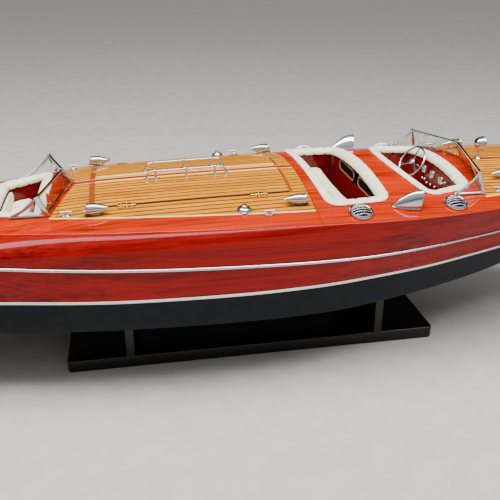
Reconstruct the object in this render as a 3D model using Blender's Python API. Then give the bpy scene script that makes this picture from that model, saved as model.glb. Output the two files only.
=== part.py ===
# Display model of a triple-cockpit mahogany speedboat on its stand, about 0.9 m long.
# Bow is +X, port is +Y, up is +Z. Metres. The stand's underside is at z = 0.

import math

import bmesh
import bpy
from mathutils import Matrix, Vector

MM = 0.001

# Main sizes
HALF_LENGTH = 0.450
GAP = 0.0003                  # clearance between pieces that touch
WATERLINE = 0.106             # level of the painted waterline above the table
DECK_THICKNESS = 0.0012
DECK_RECESS = DECK_THICKNESS + GAP
CROWN_RADIUS = 0.363          # deck camber, seen across the boat
STEM_HALF = 0.0006
STEM_CREST = 0.0001           # the deck's camber where it runs out at the stem
TRANSOM_LEAN = 0.10
STATIONS = 30
SHOULDER_STEPS = (0.28, 0.58, 0.84)   # rows of the rounded shoulder, from the side to the deck edge

# Stand
BASE_LENGTH = 0.390
BASE_WIDTH = 0.1106
BASE_HEIGHT = 0.013
BASE_CENTRE_X = -0.047
CRADLE_THICKNESS = 0.009
CRADLE_X = {"cradle_aft": -0.1786, "cradle_fore": 0.0846}

# Table of offsets in millimetres: place along the boat, then half-breadth or height.
DECK_LINE = ((-450, 155.5), (-380, 163.2), (-285, 173.8), (-240, 179.6), (-200, 183), (-117, 185.8),
             (-35, 187.3), (20, 187.8), (70, 187.5), (134, 186), (190, 184.5), (270, 183.5),
             (340, 182.6), (400, 181.6), (450, 180.5))
KEEL_HEIGHT = ((-450, 54), (-380, 50), (-285, 46), (-200, 44), (-130, 43), (25, 43), (100, 44),
               (190, 49), (270, 59), (340, 71), (400, 85), (424, 93))
CHINE_HALF = ((-450, 52), (-380, 72), (-285, 89), (-200, 101), (-130, 106), (-60, 108), (0, 105.5),
              (35, 101), (117, 81), (190, 60), (220, 50), (270, 35), (340, 17), (400, 5), (430, 0))
CHINE_HEIGHT = ((-450, 73), (-285, 71), (-60, 71.5), (35, 72), (117, 73.5), (190, 78), (220, 81),
                (270, 86), (340, 92.5), (400, 98.5), (430, 101))
WATER_HALF = ((-450, 60), (-380, 80), (-285, 97), (-200, 112), (-130, 117.5), (-60, 118.5), (0, 114.5),
              (30, 110), (100, 95.5), (134, 86), (190, 67), (210, 60), (270, 41), (340, 20.5),
              (400, 6.5), (436, 0))
STRIP_HALF = ((-450, 62), (-380, 82), (-285, 101), (-238, 108.4), (-169, 116.1), (-100, 118.9),
              (-21, 118.9), (25, 116.7), (58, 112.9), (92, 107), (124, 101.1), (161, 93.7), (189, 88),
              (270, 66), (340, 43), (400, 20), (445, 0))
STRIP_HEIGHT = ((-450, 142.4), (-380, 142.2), (-282, 141.2), (-238, 139.3), (-169, 136.9),
                (-100, 134.7), (-21, 132.8), (58, 131.7), (92, 131.9), (124, 133), (161, 134.9),
                (189, 136.5), (270, 141.5), (340, 146.5), (400, 151), (445, 154.5))
SHOULDER_HALF = ((-450, 61), (-380, 81.5), (-285, 101), (-200, 114), (-130, 118.7), (-60, 120.5),
                 (0, 120.2), (50, 119), (92, 116), (134, 111.3), (190, 103), (270, 84.3), (340, 60.8),
                 (400, 32.6), (449, 0))
SHOULDER_HEIGHT = ((-450, 148.5), (-380, 148.5), (-285, 148.5), (-200, 151), (-60, 154), (70, 158),
                   (134, 160.5), (190, 163), (270, 166), (340, 169), (400, 172), (449, 175))
SHEER_HALF = ((-450, 44), (-380, 60.5), (-285, 80.5), (-240, 93.8), (-200, 102.6), (-150, 108.2),
              (-110, 111.8), (-60, 115.8), (0, 118.3), (50, 119.8), (90, 118.4), (134, 114.3),
              (190, 106), (270, 88), (340, 64.5), (400, 36), (440, 11), (450, 0))
COVERING_WIDTH = ((-450, 26), (-280, 24), (-200, 21.6), (-110, 20), (450, 19.5))
STEM_X = {"keel": 0.424, "chine": 0.430, "water": 0.436, "strip": 0.445, "shoulder": 0.449,
          "sheer": 0.450}

# Cockpits: outer edge of the padded rim, with its half-widths at the aft and fore edges.
# A sweep is how far an edge's ends lie forward of its middle; an undercut is how far
# the opening below reaches forward under the rim.
COCKPITS = {
    "rear": {"aft": -0.2985, "fore": -0.2445, "half_aft": 0.0475, "half_fore": 0.0665,
             "sweep_aft": 0.0, "sweep_fore": 0.0, "floor": 0.1300, "undercut": 0.0},
    "middle": {"aft": 0.0062, "fore": 0.0728, "half_aft": 0.0945, "half_fore": 0.0905,
               "sweep_aft": 0.004, "sweep_fore": 0.0, "floor": 0.1280, "undercut": 0.005},
    "front": {"aft": 0.0955, "fore": 0.1640, "half_aft": 0.0860, "half_fore": 0.0740,
              "sweep_aft": 0.0165, "sweep_fore": -0.002, "floor": 0.1280, "undercut": 0.005},
}
CORNER_RADIUS = 0.013
RIM_OVERHANG = 0.0075         # how far the rim lies on the deck
LINER_WALL = 0.001
LINER_DROP = 0.0062           # top of the lining below the deck

# Height of the seat, thickness of its back, depth of the cushion, and how much it widens forward
SEATS = {"rear": (0.152, 0.009, 0.028, 0.24), "middle": (0.160, 0.009, 0.030, 0.0),
         "front": (0.150, 0.009, 0.022, -0.10)}

# Deck: where the planking changes along the boat
DECK_ENDS = {"aft": -0.4495, "transom_plank": -0.430, "rear_band": -0.2330, "cockpit_band": -0.0020,
             "fore_band": 0.1745, "fore_plank": 0.392, "fore": 0.424}
STRIP_TALL = 0.0032           # metal strip along the sides
STRIP_THICK = 0.0011

# Engine hatch
HATCH_AFT = -0.2000
HATCH_FORE = -0.0192
HATCH_INNER = 0.0057          # half of the king plank between the leaves
HATCH_OUTER = 0.0640
HATCH_RAISE = 0.0012
HATCH_DEEP = 0.0022
HINGE_Y = 0.0659
HINGE_X = (-0.1710, -0.0490)
BARREL_HEIGHT = 0.0013        # hinge pin above the deck
BAY_FLOOR = 0.128
BAY_LEDGE = 0.004             # what is left of the deck's bed round the bay
HINGE_LENGTH = 0.0160
BARREL_RADIUS = 0.0008
RAIL_POSTS = (-0.1414, -0.1115, -0.0832)
RAIL_FEET = (-0.1505, -0.0720)
RAIL_Y = 0.0145
RAIL_TALL = 0.0080
RAIL_BEND = 0.0075
RAIL_RADIUS = 0.0009

# Windshields: corner points of one half; heights not given follow the deck
WINDSHIELDS = {
    "rear": {"top_mid": (-0.2303, 0.1963), "foot_mid": -0.2221, "top_end": (-0.2484, 0.0675, 0.1920),
             "foot_end": (-0.2416, 0.0663), "wing": (-0.2745, 0.0585)},
    "front": {"top_mid": (0.1784, 0.2033), "foot_mid": 0.1854, "top_end": (0.1628, 0.0830, 0.1967),
              "foot_end": (0.1675, 0.0846), "wing": (0.1385, 0.0855)},
}
FRAME_HALF = 0.0009

# Deck fittings: kind, place along the boat, distance from the centreline, turn and lift off the deck
FITTINGS = {
    "louvre_vent_aft": ("louvre", 0.0380, 0.1050, 0.0, 0.0006),
    "louvre_vent_fore": ("louvre", 0.1330, 0.0985, 0.0, 0.0006),
    "filler_cap": ("filler", -0.0669, 0.0889, 0.0, 0.0006),
    "cleat_aft": ("cleat", -0.2250, 0.0705, 0.0, GAP),
    "cleat_middle": ("cleat", -0.0458, 0.0980, 0.0, GAP),
    "cleat_fore": ("cleat", 0.1870, 0.0800, 0.0, GAP),
    "bullet_vent_aft": ("bullet", -0.1855, 0.0740, math.pi, 0.0004),
    "bullet_vent_middle": ("bullet", -0.0300, 0.0850, 0.0, 0.0004),
    "bullet_vent_fore": ("bullet", 0.1900, 0.0560, 0.0, 0.0004),
    "clam_vent": ("clam", 0.0700, 0.0985, 0.0, 0.0005),
}
# Length, width, height and how far the mouth leans forward
BULLET_VENT = (0.0215, 0.0105, 0.0100, 0.0012)
CLAM_VENT = (0.0245, 0.0155, 0.0155, 0.0030)
SEARCHLIGHT_X = 0.2046

# Front cockpit's dashboard and wheel
WHEEL_CENTRE = Vector((0.1400, 0.0237, 0.1775))
WHEEL_NORMAL = Vector((-0.80, -0.20, 0.56)).normalized()
WHEEL_RADIUS = 0.0172
GAUGE_Y = (0.0208, 0.0, -0.0208)
GAUGE_Z = 0.1690
DASH_X = 0.1546
DASH_THICKNESS = 0.0039
DASH_HALF = 0.0600
WHEEL_GRIP = 0.0011

# Running gear
SHAFT_FORE = Vector((-0.2500, 0, 0.0415))
SHAFT_AFT = Vector((-0.3720, 0, 0.0325))
RUDDER_X = -0.4120
SHAFT_RADIUS = 0.0015

COLOURS = {
    "mahogany": (0.42, 0.035, 0.012, 0.22, 0.0),
    "deck_mahogany": (0.66, 0.075, 0.012, 0.20, 0.0),
    "teak": (0.62, 0.33, 0.11, 0.25, 0.0),
    "bottom_paint": (0.018, 0.024, 0.036, 0.40, 0.0),
    "cream_leather": (0.88, 0.85, 0.72, 0.50, 0.0),
    "lining": (0.20, 0.012, 0.010, 0.25, 0.0),
    "chrome": (0.80, 0.81, 0.83, 0.08, 1.0),
    "brass": (0.76, 0.58, 0.25, 0.20, 1.0),
    "black_gloss": (0.012, 0.010, 0.010, 0.12, 0.0),
    "glass": (0.80, 0.85, 0.85, 0.03, 0.0),
}


def clear_scene():
    for old in list(bpy.data.objects):
        bpy.data.objects.remove(old, do_unlink=True)


def fair(knots, at):
    """Smooth curve through the knots, read at one place."""
    last = len(knots) - 1
    if at <= knots[0][0]:
        return knots[0][1]
    if at >= knots[last][0]:
        return knots[last][1]
    here = max(i for i in range(last) if knots[i][0] <= at)

    def slope(i):
        low = knots[max(i - 1, 0)]
        high = knots[min(i + 1, last)]
        return (high[1] - low[1]) / (high[0] - low[0])

    start, end = knots[here], knots[here + 1]
    span = end[0] - start[0]
    t = (at - start[0]) / span
    rise = end[1] - start[1]
    bend_in = slope(here) * span - rise
    bend_out = -slope(here + 1) * span + rise
    return start[1] + t * rise + t * (1 - t) * ((1 - t) * bend_in + t * bend_out)


def line(knots, x):
    return fair(knots, x / MM) * MM


def deck_z(x, y):
    return line(DECK_LINE, x) - y * y / (2 * CROWN_RADIUS)


def sheer_half(x):
    return max(line(SHEER_HALF, x), STEM_HALF)


def panel_half(x):
    """Half-width of the planked deck inside the covering boards."""
    return max(sheer_half(x) - line(COVERING_WIDTH, x), 0.0)


def paint(obj, finish):
    red, green, blue, rough, metal = COLOURS[finish]
    material = bpy.data.materials.new(obj.name + "_finish")
    material.use_nodes = True
    shader = material.node_tree.nodes["Principled BSDF"]
    shader.inputs["Base Color"].default_value = (red, green, blue, 1.0)
    shader.inputs["Roughness"].default_value = rough
    shader.inputs["Metallic"].default_value = metal
    if finish == "glass":
        shader.inputs["Transmission Weight"].default_value = 1.0
        shader.inputs["IOR"].default_value = 1.45
    if not obj.material_slots:
        obj.data.materials.append(material)
    obj.material_slots[0].link = "OBJECT"
    obj.material_slots[0].material = material


def finish_mesh(bm, name, smooth=True):
    """Turn a bmesh into mesh data with flat faces that point out."""
    bmesh.ops.remove_doubles(bm, verts=bm.verts, dist=0.000005)
    quads = [face for face in bm.faces if len(face.verts) == 4]
    bmesh.ops.connect_verts_nonplanar(bm, angle_limit=math.radians(1), faces=quads)
    bmesh.ops.recalc_face_normals(bm, faces=bm.faces)
    if bm.calc_volume(signed=True) < 0:
        bmesh.ops.reverse_faces(bm, faces=bm.faces)
    mesh = bpy.data.meshes.new(name)
    bm.to_mesh(mesh)
    bm.free()
    if smooth:
        mesh.shade_smooth()
        mesh.set_sharp_from_angle(angle=math.radians(35))
    return mesh


def add(name, mesh, finish, matrix=None):
    obj = bpy.data.objects.new(name, mesh)
    bpy.context.collection.objects.link(obj)
    if matrix is not None:
        obj.matrix_world = matrix
    paint(obj, finish)
    return obj


def cutter(name, mesh):
    obj = bpy.data.objects.new(name, mesh)
    bpy.context.collection.objects.link(obj)
    obj.hide_render = True
    obj.display_type = "WIRE"
    return obj


def combine(target, other, operation):
    """Add a Boolean of the other object to the target."""
    modifier = target.modifiers.new(operation.lower() + "_" + other.name, "BOOLEAN")
    modifier.operation = operation
    modifier.solver = "EXACT"
    modifier.object = other


def joined(name, meshes, operation="UNION"):
    """One mesh from several, by Booleans that are applied here."""
    first = bpy.data.objects.new(name, meshes[0])
    bpy.context.collection.objects.link(first)
    extra = [cutter(name + "_tool", mesh) for mesh in meshes[1:]]
    for tool in extra:
        combine(first, tool, operation)
    bpy.context.view_layer.update()
    graph = bpy.context.evaluated_depsgraph_get()
    result = bpy.data.meshes.new_from_object(first.evaluated_get(graph))
    for old in extra + [first]:
        bpy.data.objects.remove(old, do_unlink=True)
    bm = bmesh.new()
    bm.from_mesh(result)
    bmesh.ops.dissolve_degenerate(bm, edges=bm.edges, dist=0.000003)
    return finish_mesh(bm, name)


def loft(rings, name, wrap=False, smooth=True, ladder=False):
    """Closed skin through rings of points; the ends are capped unless it wraps round.

    A ladder closes the last ring with strips from side to side, for a mirrored ring.
    """
    bm = bmesh.new()
    rows = [[bm.verts.new(point) for point in ring] for ring in rings]
    count = len(rows[0])
    pairs = list(zip(rows, rows[1:]))
    if wrap:
        pairs.append((rows[-1], rows[0]))
    for low, high in pairs:
        for i in range(count):
            j = (i + 1) % count
            bm.faces.new((low[i], low[j], high[j], high[i]))
    if not wrap:
        bm.faces.new(rows[0])
    if ladder:
        for i in range(count // 2):
            rung = [rows[-1][i], rows[-1][i + 1], rows[-1][count - 2 - i], rows[-1][count - 1 - i]]
            if rung[1] is rung[2]:
                del rung[2]
            bm.faces.new(rung)
    elif not wrap:
        bm.faces.new(list(reversed(rows[-1])))
    return finish_mesh(bm, name, smooth)


def turned(profile, segments, name):
    """Solid of revolution about Z from (radius, height) points; it starts and ends on the axis."""
    bm = bmesh.new()
    rings = []
    for radius, height in profile[1:-1]:
        ring = []
        for i in range(segments):
            angle = 2 * math.pi * i / segments
            ring.append(bm.verts.new((radius * math.cos(angle), radius * math.sin(angle), height)))
        rings.append(ring)
    bottom = bm.verts.new((0, 0, profile[0][1]))
    top = bm.verts.new((0, 0, profile[-1][1]))
    for i in range(segments):
        j = (i + 1) % segments
        bm.faces.new((bottom, rings[0][j], rings[0][i]))
        bm.faces.new((top, rings[-1][i], rings[-1][j]))
        for low, high in zip(rings, rings[1:]):
            bm.faces.new((low[i], low[j], high[j], high[i]))
    return finish_mesh(bm, name)


def block(low, high, name, bevel=0.0, segments=1):
    """Box between two corners, with rounded edges."""
    bm = bmesh.new()
    bmesh.ops.create_cube(bm, size=1.0)
    size = Vector(high) - Vector(low)
    middle = (Vector(high) + Vector(low)) / 2
    bmesh.ops.scale(bm, vec=size, verts=bm.verts)
    bmesh.ops.translate(bm, vec=middle, verts=bm.verts)
    if bevel:
        bmesh.ops.bevel(bm, geom=bm.edges, offset=bevel, segments=segments, affect="EDGES", profile=0.5)
    return finish_mesh(bm, name)


def bar(points, half_wide, half_thick, name, side=Vector((1, 0, 0))):
    """Bar of rectangular section along a path; side is the wide direction."""
    points = [Vector(point) for point in points]
    rings = []
    for i, point in enumerate(points):
        before = points[max(i - 1, 0)]
        after = points[min(i + 1, len(points) - 1)]
        run = (after - before).normalized()
        wide = (side - side.dot(run) * run).normalized()
        thick = run.cross(wide)
        rings.append([point + wide * half_wide * a + thick * half_thick * b
                      for a, b in ((1, 1), (-1, 1), (-1, -1), (1, -1))])
    return loft(rings, name, smooth=False)


def tube(points, radius, segments, name):
    """Round tube along a path of points."""
    points = [Vector(point) for point in points]
    rings = []
    for i, point in enumerate(points):
        before = points[max(i - 1, 0)]
        after = points[min(i + 1, len(points) - 1)]
        run = (after - before).normalized()
        side = run.cross(Vector((0, 1, 0))).normalized()
        up = side.cross(run)
        rings.append([point + radius * (math.cos(a) * side + math.sin(a) * up)
                      for a in (2 * math.pi * k / segments for k in range(segments))])
    return loft(rings, name)


# Hull

def stern_x(z):
    """The transom leans aft as it rises."""
    return -HALF_LENGTH + TRANSOM_LEAN * (deck_z(-HALF_LENGTH, 0) - z)


def hull_point(name, u):
    """Point on one of the hull's long lines, on the port side; u runs from stern to stem."""
    half_lines = {"chine": CHINE_HALF, "water": WATER_HALF, "strip": STRIP_HALF,
                  "shoulder": SHOULDER_HALF, "sheer": SHEER_HALF}

    def height(x):
        if name == "keel":
            return line(KEEL_HEIGHT, x)
        if name == "chine":
            return line(CHINE_HEIGHT, x)
        if name == "water":
            return WATERLINE
        if name == "strip":
            return line(STRIP_HEIGHT, x)
        if name == "shoulder":
            return line(SHOULDER_HEIGHT, x)
        return deck_z(x, sheer_half(x))

    start = stern_x(height(-HALF_LENGTH))
    x = start + (STEM_X[name] - start) * u
    if name == "keel":
        return Vector((x, 0, height(x)))
    half = max(line(half_lines[name], x), STEM_HALF)
    return Vector((x, half, height(x)))


def stations():
    """Stations from stern to stem, closer together towards the bow."""
    steps = [i / STATIONS for i in range(STATIONS + 1)]
    return [0.65 * step + 0.35 * math.sin(0.5 * math.pi * step) for step in steps]


def mirrored(points):
    """A half-section, from the outside in, closed with its mirror image."""
    other = [Vector((p.x, -p.y, p.z)) for p in reversed(points) if p.y > 0]
    return points + other


def hull_bottom():
    rings = []
    for u in stations():
        keel = hull_point("keel", u)
        chine = hull_point("chine", u)
        water = hull_point("water", u)
        water.z -= GAP
        rings.append(mirrored([water, chine, keel]))
    return add("hull_bottom", loft(rings, "hull_bottom"), "bottom_paint")


def recess_depth(x):
    """The recess for the deck planks runs out just behind the stem."""
    fade = (0.445 - x) / 0.018
    return DECK_RECESS * min(max(fade, 0.0), 1.0)


def topsides_section(u):
    water = hull_point("water", u)
    strip = hull_point("strip", u)
    shoulder = hull_point("shoulder", u)
    sheer = hull_point("sheer", u)
    slope = sheer.y / CROWN_RADIUS
    corner = Vector((0, 0, 0))
    corner.x = sheer.x
    corner.y = max(shoulder.y, sheer.y)
    corner.z = sheer.z - slope * (corner.y - sheer.y)
    if u == 1:
        curve = [shoulder.lerp(sheer, t) for t in SHOULDER_STEPS]
        crest = Vector((sheer.x, 0, sheer.z + STEM_CREST))
        return [water, strip, shoulder] + curve + [sheer] * 4 + [crest]
    curve = []
    for t in SHOULDER_STEPS:
        curve.append((1 - t) ** 2 * shoulder + 2 * t * (1 - t) * corner + t * t * sheer)
    section = [water, strip, shoulder] + curve + [sheer]
    inner = max(sheer.y - 0.0002, 0.0003)
    for share in (1.0, 0.77, 0.41, 0.0):
        y = inner * share
        section.append(Vector((sheer.x, y, deck_z(sheer.x, y) - recess_depth(sheer.x))))
    return section


def topsides():
    rings = [mirrored(topsides_section(u)) for u in stations()]
    return add("topsides", loft(rings, "topsides", ladder=True), "mahogany")


def rub_strip():
    """Metal strip along both sides, joined round the stem."""
    half_tall = STRIP_TALL / 2
    thick = STRIP_THICK
    rings = []
    path = []
    for u in stations():
        water, strip, shoulder = (hull_point(n, u) for n in ("water", "strip", "shoulder"))
        low = strip + (water - strip) * (half_tall / (strip.z - water.z))
        high = strip + (shoulder - strip) * (half_tall / (shoulder.z - strip.z))
        path.append((low, strip, high))
    for i, (low, strip, high) in enumerate(path):
        before = path[max(i - 1, 0)][1]
        after = path[min(i + 1, len(path) - 1)][1]
        run = (after - before).normalized()
        out = Vector((-run.y, run.x, 0)).normalized()
        if out.y < 0:
            out = -out
        rings.append([low + out * GAP * 1.3, low + out * thick, strip + out * (thick + 0.0005),
                      high + out * thick, high + out * GAP * 1.3, strip + out * GAP * 1.3])
    port = rings
    starboard = [[Vector((p.x, -p.y, p.z)) for p in ring] for ring in reversed(rings)]
    front = []
    for p in port[-1]:
        front.append(Vector((p.x + (p.y - STEM_HALF) * 0.6 + 0.0004, 0, p.z)))
    return add("rub_strip", loft(port + [front] + starboard, "rub_strip"), "chrome")


# Deck

def deck_patch(name, x_low, x_high, half, columns, rows, thickness=DECK_THICKNESS, lift=0.0, inner=None):
    """Slab of planking that follows the camber, from -half to +half or from inner to half."""
    top = []
    for i in range(rows + 1):
        x = x_low + (x_high - x_low) * i / rows
        wide = half(x)
        near = inner if inner is not None else -wide
        top.append([(x, near + (wide - near) * j / columns) for j in range(columns + 1)])
    bm = bmesh.new()
    layers = []
    for drop in (0.0, thickness):
        layers.append([[bm.verts.new((x, y, deck_z(x, y) + lift - drop)) for x, y in row] for row in top])
    upper, lower = layers
    for i in range(rows):
        for j in range(columns):
            bm.faces.new((upper[i][j], upper[i + 1][j], upper[i + 1][j + 1], upper[i][j + 1]))
            bm.faces.new((lower[i][j], lower[i][j + 1], lower[i + 1][j + 1], lower[i + 1][j]))
    for i in range(rows):
        for j in (0, columns):
            bm.faces.new((upper[i][j], lower[i][j], lower[i + 1][j], upper[i + 1][j]))
    for j in range(columns):
        for i in (0, rows):
            bm.faces.new((upper[i][j], upper[i][j + 1], lower[i][j + 1], lower[i][j]))
    return finish_mesh(bm, name)


def prism(outline, low, high, name):
    """Upright prism over a plan outline."""
    rings = [[Vector((x, y, z)) for x, y in outline] for z in (low, high)]
    return loft(rings, name, smooth=False)


def planked_outline(inset, x_low, x_high, steps=22):
    """Plan outline of the planked deck, inside the covering boards."""
    side = []
    for i in range(steps + 1):
        x = x_low + (x_high - x_low) * i / steps
        side.append((x, panel_half(x) - inset))
    return side + [(x, -y) for x, y in reversed(side)]


def covering_boards():
    ends = DECK_ENDS
    mesh = deck_patch("covering_boards", ends["aft"], ends["fore"],
                      lambda x: sheer_half(x) - 0.0005, 12, 40)
    boards = add("covering_boards", mesh, "deck_mahogany")
    outline = planked_outline(0.0, ends["transom_plank"], ends["fore_plank"])
    combine(boards, cutter("planking_cut", prism(outline, 0.14, 0.20, "planking_cut")), "DIFFERENCE")
    return boards


def deck_panels():
    """Four planked panels inside the covering boards, from stern to bow."""
    ends = DECK_ENDS
    spans = {
        "deck_aft": (ends["transom_plank"] + GAP, ends["rear_band"], 14, "teak"),
        "deck_engine": (ends["rear_band"] + GAP, ends["cockpit_band"], 10, "teak"),
        "deck_cockpits": (ends["cockpit_band"] + GAP, ends["fore_band"], 9, "deck_mahogany"),
        "deck_fore": (ends["fore_band"] + GAP, ends["fore_plank"] - GAP, 10, "teak"),
    }
    panels = {}
    for name, (low, high, rows, finish) in spans.items():
        mesh = deck_patch(name, low, high, lambda x: panel_half(x) - 2 * GAP, 12, rows)
        panels[name] = add(name, mesh, finish)
    return panels


def cockpit_outline(name, inset, undercut=0.0, across=7, along=2, corner=3):
    """Plan outline of a cockpit, a distance inside the rim's outer edge."""
    pit = COCKPITS[name]
    fore = pit["fore"] + undercut
    length = (fore - pit["aft"]) / 2 - inset
    middle = (fore + pit["aft"]) / 2
    half_mean = (pit["half_aft"] + pit["half_fore"]) / 2
    half = half_mean - inset
    radius = max(CORNER_RADIUS - inset, 0.002)
    flat = []
    for side_x, side_y, turn in ((1, 1, 0), (-1, 1, 90), (-1, -1, 180), (1, -1, 270)):
        for k in range(corner + 1):
            angle = math.radians(turn + 90 * k / corner)
            flat.append((side_x * (length - radius) + radius * math.cos(angle),
                         side_y * (half - radius) + radius * math.sin(angle)))
        steps = across if turn in (90, 270) else along
        last = flat[-1]
        next_x = {0: -1, 90: -1, 180: 1, 270: 1}[turn]
        next_y = {0: 1, 90: -1, 180: -1, 270: 1}[turn]
        start_angle = math.radians(turn + 90)
        target = (next_x * (length - radius) + radius * math.cos(start_angle),
                  next_y * (half - radius) + radius * math.sin(start_angle))
        for k in range(1, steps):
            share = k / steps
            flat.append((last[0] + (target[0] - last[0]) * share, last[1] + (target[1] - last[1]) * share))
    outline = []
    for x, y in flat:
        ahead = x / length
        width = half_mean + (pit["half_fore"] - pit["half_aft"]) / 2 * ahead
        placed_y = y / half * (width - inset)
        spread = (placed_y / width) ** 2
        sweep = pit["sweep_aft"] * (1 - ahead) / 2 + pit["sweep_fore"] * (1 + ahead) / 2
        outline.append((middle + x + sweep * spread, placed_y))
    return outline


def opening_outline(name, extra=0.0):
    """Plan outline of the opening below a rim, made smaller by the extra."""
    return cockpit_outline(name, RIM_OVERHANG + extra, COCKPITS[name]["undercut"])


def rim(name):
    """Padded roll round a cockpit, lying on the deck and over the edge of the opening."""
    section = ((0.0, 0.0003), (0.0003, 0.0012), (0.0035, 0.0030), (0.0070, 0.0032), (0.0102, 0.0014),
               (0.0108, -0.0036), (0.0088, -0.0054), (0.0079, -0.0046), (0.0079, 0.0003))
    loops = []
    for inset, rise in section:
        loops.append([Vector((x, y, deck_z(x, y) + rise)) for x, y in cockpit_outline(name, inset)])
    mesh = loft(loops, "rim_" + name, wrap=True)
    return add("rim_" + name, mesh, "cream_leather")


def lining(name):
    """Wooden lining of a cockpit: walls and floor."""
    pit = COCKPITS[name]
    outer = opening_outline(name, GAP)
    inner = opening_outline(name, GAP + LINER_WALL)
    floor = pit["floor"]
    bottom = floor - LINER_WALL
    loops = [
        [Vector((x, y, bottom)) for x, y in outer],
        [Vector((x, y, deck_z(x, y) - LINER_DROP)) for x, y in outer],
        [Vector((x, y, deck_z(x, y) - LINER_DROP)) for x, y in inner],
        [Vector((x, y, floor)) for x, y in inner],
    ]
    return add("lining_" + name, loft(loops, "lining_" + name), "lining")


def cut_cockpits(hull, panels):
    """Openings through the planking and down into the hull."""
    homes = {"rear": "deck_aft", "middle": "deck_cockpits", "front": "deck_cockpits"}
    for name, pit in COCKPITS.items():
        outline = opening_outline(name)
        mesh = prism(outline, pit["floor"] - LINER_WALL - GAP, 0.22, "cut_" + name)
        tool = cutter("cut_" + name, mesh)
        combine(hull, tool, "DIFFERENCE")
        combine(panels[homes[name]], tool, "DIFFERENCE")


def seat(name, seat_top, back_thick, cushion_deep, splay):
    """Upholstered bench: a cushion and a back against the aft wall, in one piece."""
    pit = COCKPITS[name]
    wall = RIM_OVERHANG + GAP + LINER_WALL + 0.0005
    half_back = pit["half_aft"] - wall - 0.004
    sections = []
    steps = 8
    for i in range(steps + 1):
        share = -1 + 2 * i / steps
        y = share * half_back
        sweep = pit["sweep_aft"] * (y / pit["half_aft"]) ** 2
        aft = pit["aft"] + wall + sweep
        fore = min(aft + cushion_deep, pit["fore"] - wall - 0.012)
        low = pit["floor"] + GAP
        top = deck_z(aft, y) - LINER_DROP - 0.0005
        profile = ((aft, low), (aft, top), (aft + back_thick * 0.7, top), (aft + back_thick, top - 0.004),
                   (aft + back_thick, seat_top + 0.002), (aft + back_thick + 0.002, seat_top),
                   (fore - 0.003, seat_top), (fore, seat_top - 0.004), (fore, low))
        spread = splay * y / cushion_deep
        sections.append([Vector((x, y + spread * (x - aft), z)) for x, z in profile])
    return add("seat_" + name, loft(sections, "seat_" + name), "cream_leather")


# Engine hatch

def hatch_openings(hull, engine_deck):
    """Two openings in the planking, one for each leaf, and the shallow bay below."""
    for side in (-1, 1):
        inner = HATCH_INNER
        outer = HATCH_OUTER + GAP
        corners = [(HATCH_AFT - GAP, side * inner), (HATCH_FORE + GAP, side * inner),
                   (HATCH_FORE + GAP, side * outer), (HATCH_AFT - GAP, side * outer)]
        tool = cutter("hatch_cut", prism(corners, 0.150, 0.210, "hatch_cut"))
        combine(engine_deck, tool, "DIFFERENCE")
    bay = block((HATCH_AFT + BAY_LEDGE, -HATCH_OUTER + BAY_LEDGE, BAY_FLOOR),
                (HATCH_FORE - BAY_LEDGE, HATCH_OUTER - BAY_LEDGE, 0.210), "bay_cut")
    combine(hull, cutter("bay_cut", bay), "DIFFERENCE")


def hinge_pin(x, side):
    """Point on the hinge line of a hatch leaf."""
    aft, fore = (Vector((at, side * HINGE_Y, deck_z(at, HINGE_Y) + BARREL_HEIGHT)) for at in HINGE_X)
    return aft.lerp(fore, (x - aft.x) / (fore.x - aft.x))


def leaf(name, side):
    """Hatch leaf, hinged on its outer edge; its origin is on the hinge line."""
    axis = hinge_pin((HATCH_AFT + HATCH_FORE) / 2, side)
    columns, rows = 6, 12
    low = side * (HATCH_INNER + GAP)
    high = side * HATCH_OUTER
    mesh = deck_patch(name, HATCH_AFT, HATCH_FORE, lambda x: max(low, high), columns, rows,
                      HATCH_DEEP, HATCH_RAISE, min(low, high))
    mesh.transform(Matrix.Translation(-axis))
    return add(name, mesh, "teak", Matrix.Translation(axis))


def handrail(name, side):
    """Lifting rail on a hatch leaf: a tube on three posts, with its ends curved down to feet."""
    y = side * RAIL_Y

    def top(x):
        return deck_z(x, RAIL_Y) + HATCH_RAISE

    aft, fore = RAIL_FEET
    path = []
    for k in range(6):
        angle = math.radians(90 * k / 5)
        x = aft + RAIL_BEND * (1 - math.cos(angle))
        path.append((x, y, top(x) + 0.0018 + (RAIL_TALL - 0.0018) * math.sin(angle)))
    for x in RAIL_POSTS[1:2]:
        path.append((x, y, top(x) + RAIL_TALL))
    for k in range(5, -1, -1):
        angle = math.radians(90 * k / 5)
        x = fore - RAIL_BEND * (1 - math.cos(angle))
        path.append((x, y, top(x) + 0.0018 + (RAIL_TALL - 0.0018) * math.sin(angle)))
    parts = [tube(path, RAIL_RADIUS, 6, name)]
    foot = ((0, 0), (0.0024, 0), (0.0022, 0.0008), (0.0016, 0.0026), (0, 0.0035))
    post = ((0, 0), (0.0024, 0), (0.0022, 0.0008), (0.0009, 0.0026), (0.0009, 0.0060), (0.0017, 0.0080),
            (0, 0.0098))
    for places, profile in ((RAIL_FEET, foot), (RAIL_POSTS, post)):
        for x in places:
            mesh = turned(profile, 7, name + "_post")
            mesh.transform(Matrix.Translation((x, y, top(x) + GAP)))
            parts.append(mesh)
    return add(name, joined(name, parts), "chrome")


def hinge(name, x, side):
    """Butt hinge at the outer edge of a leaf: its barrel and the plate on the fixed deck."""
    half = HINGE_LENGTH / 2
    plate = block((-half, -0.0004, 0.0005), (half, 0.0042, 0.0011), name)
    if side < 0:
        plate.transform(Matrix.Rotation(math.pi, 4, "Z"))
    plate.transform(deck_frame(x, side * HINGE_Y, 0.0, 0.0))
    barrel = tube([hinge_pin(x - half, side), hinge_pin(x + half, side)], BARREL_RADIUS, 6, name)
    return add(name, joined(name, [plate, barrel]), "brass")


# Windshields

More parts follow.
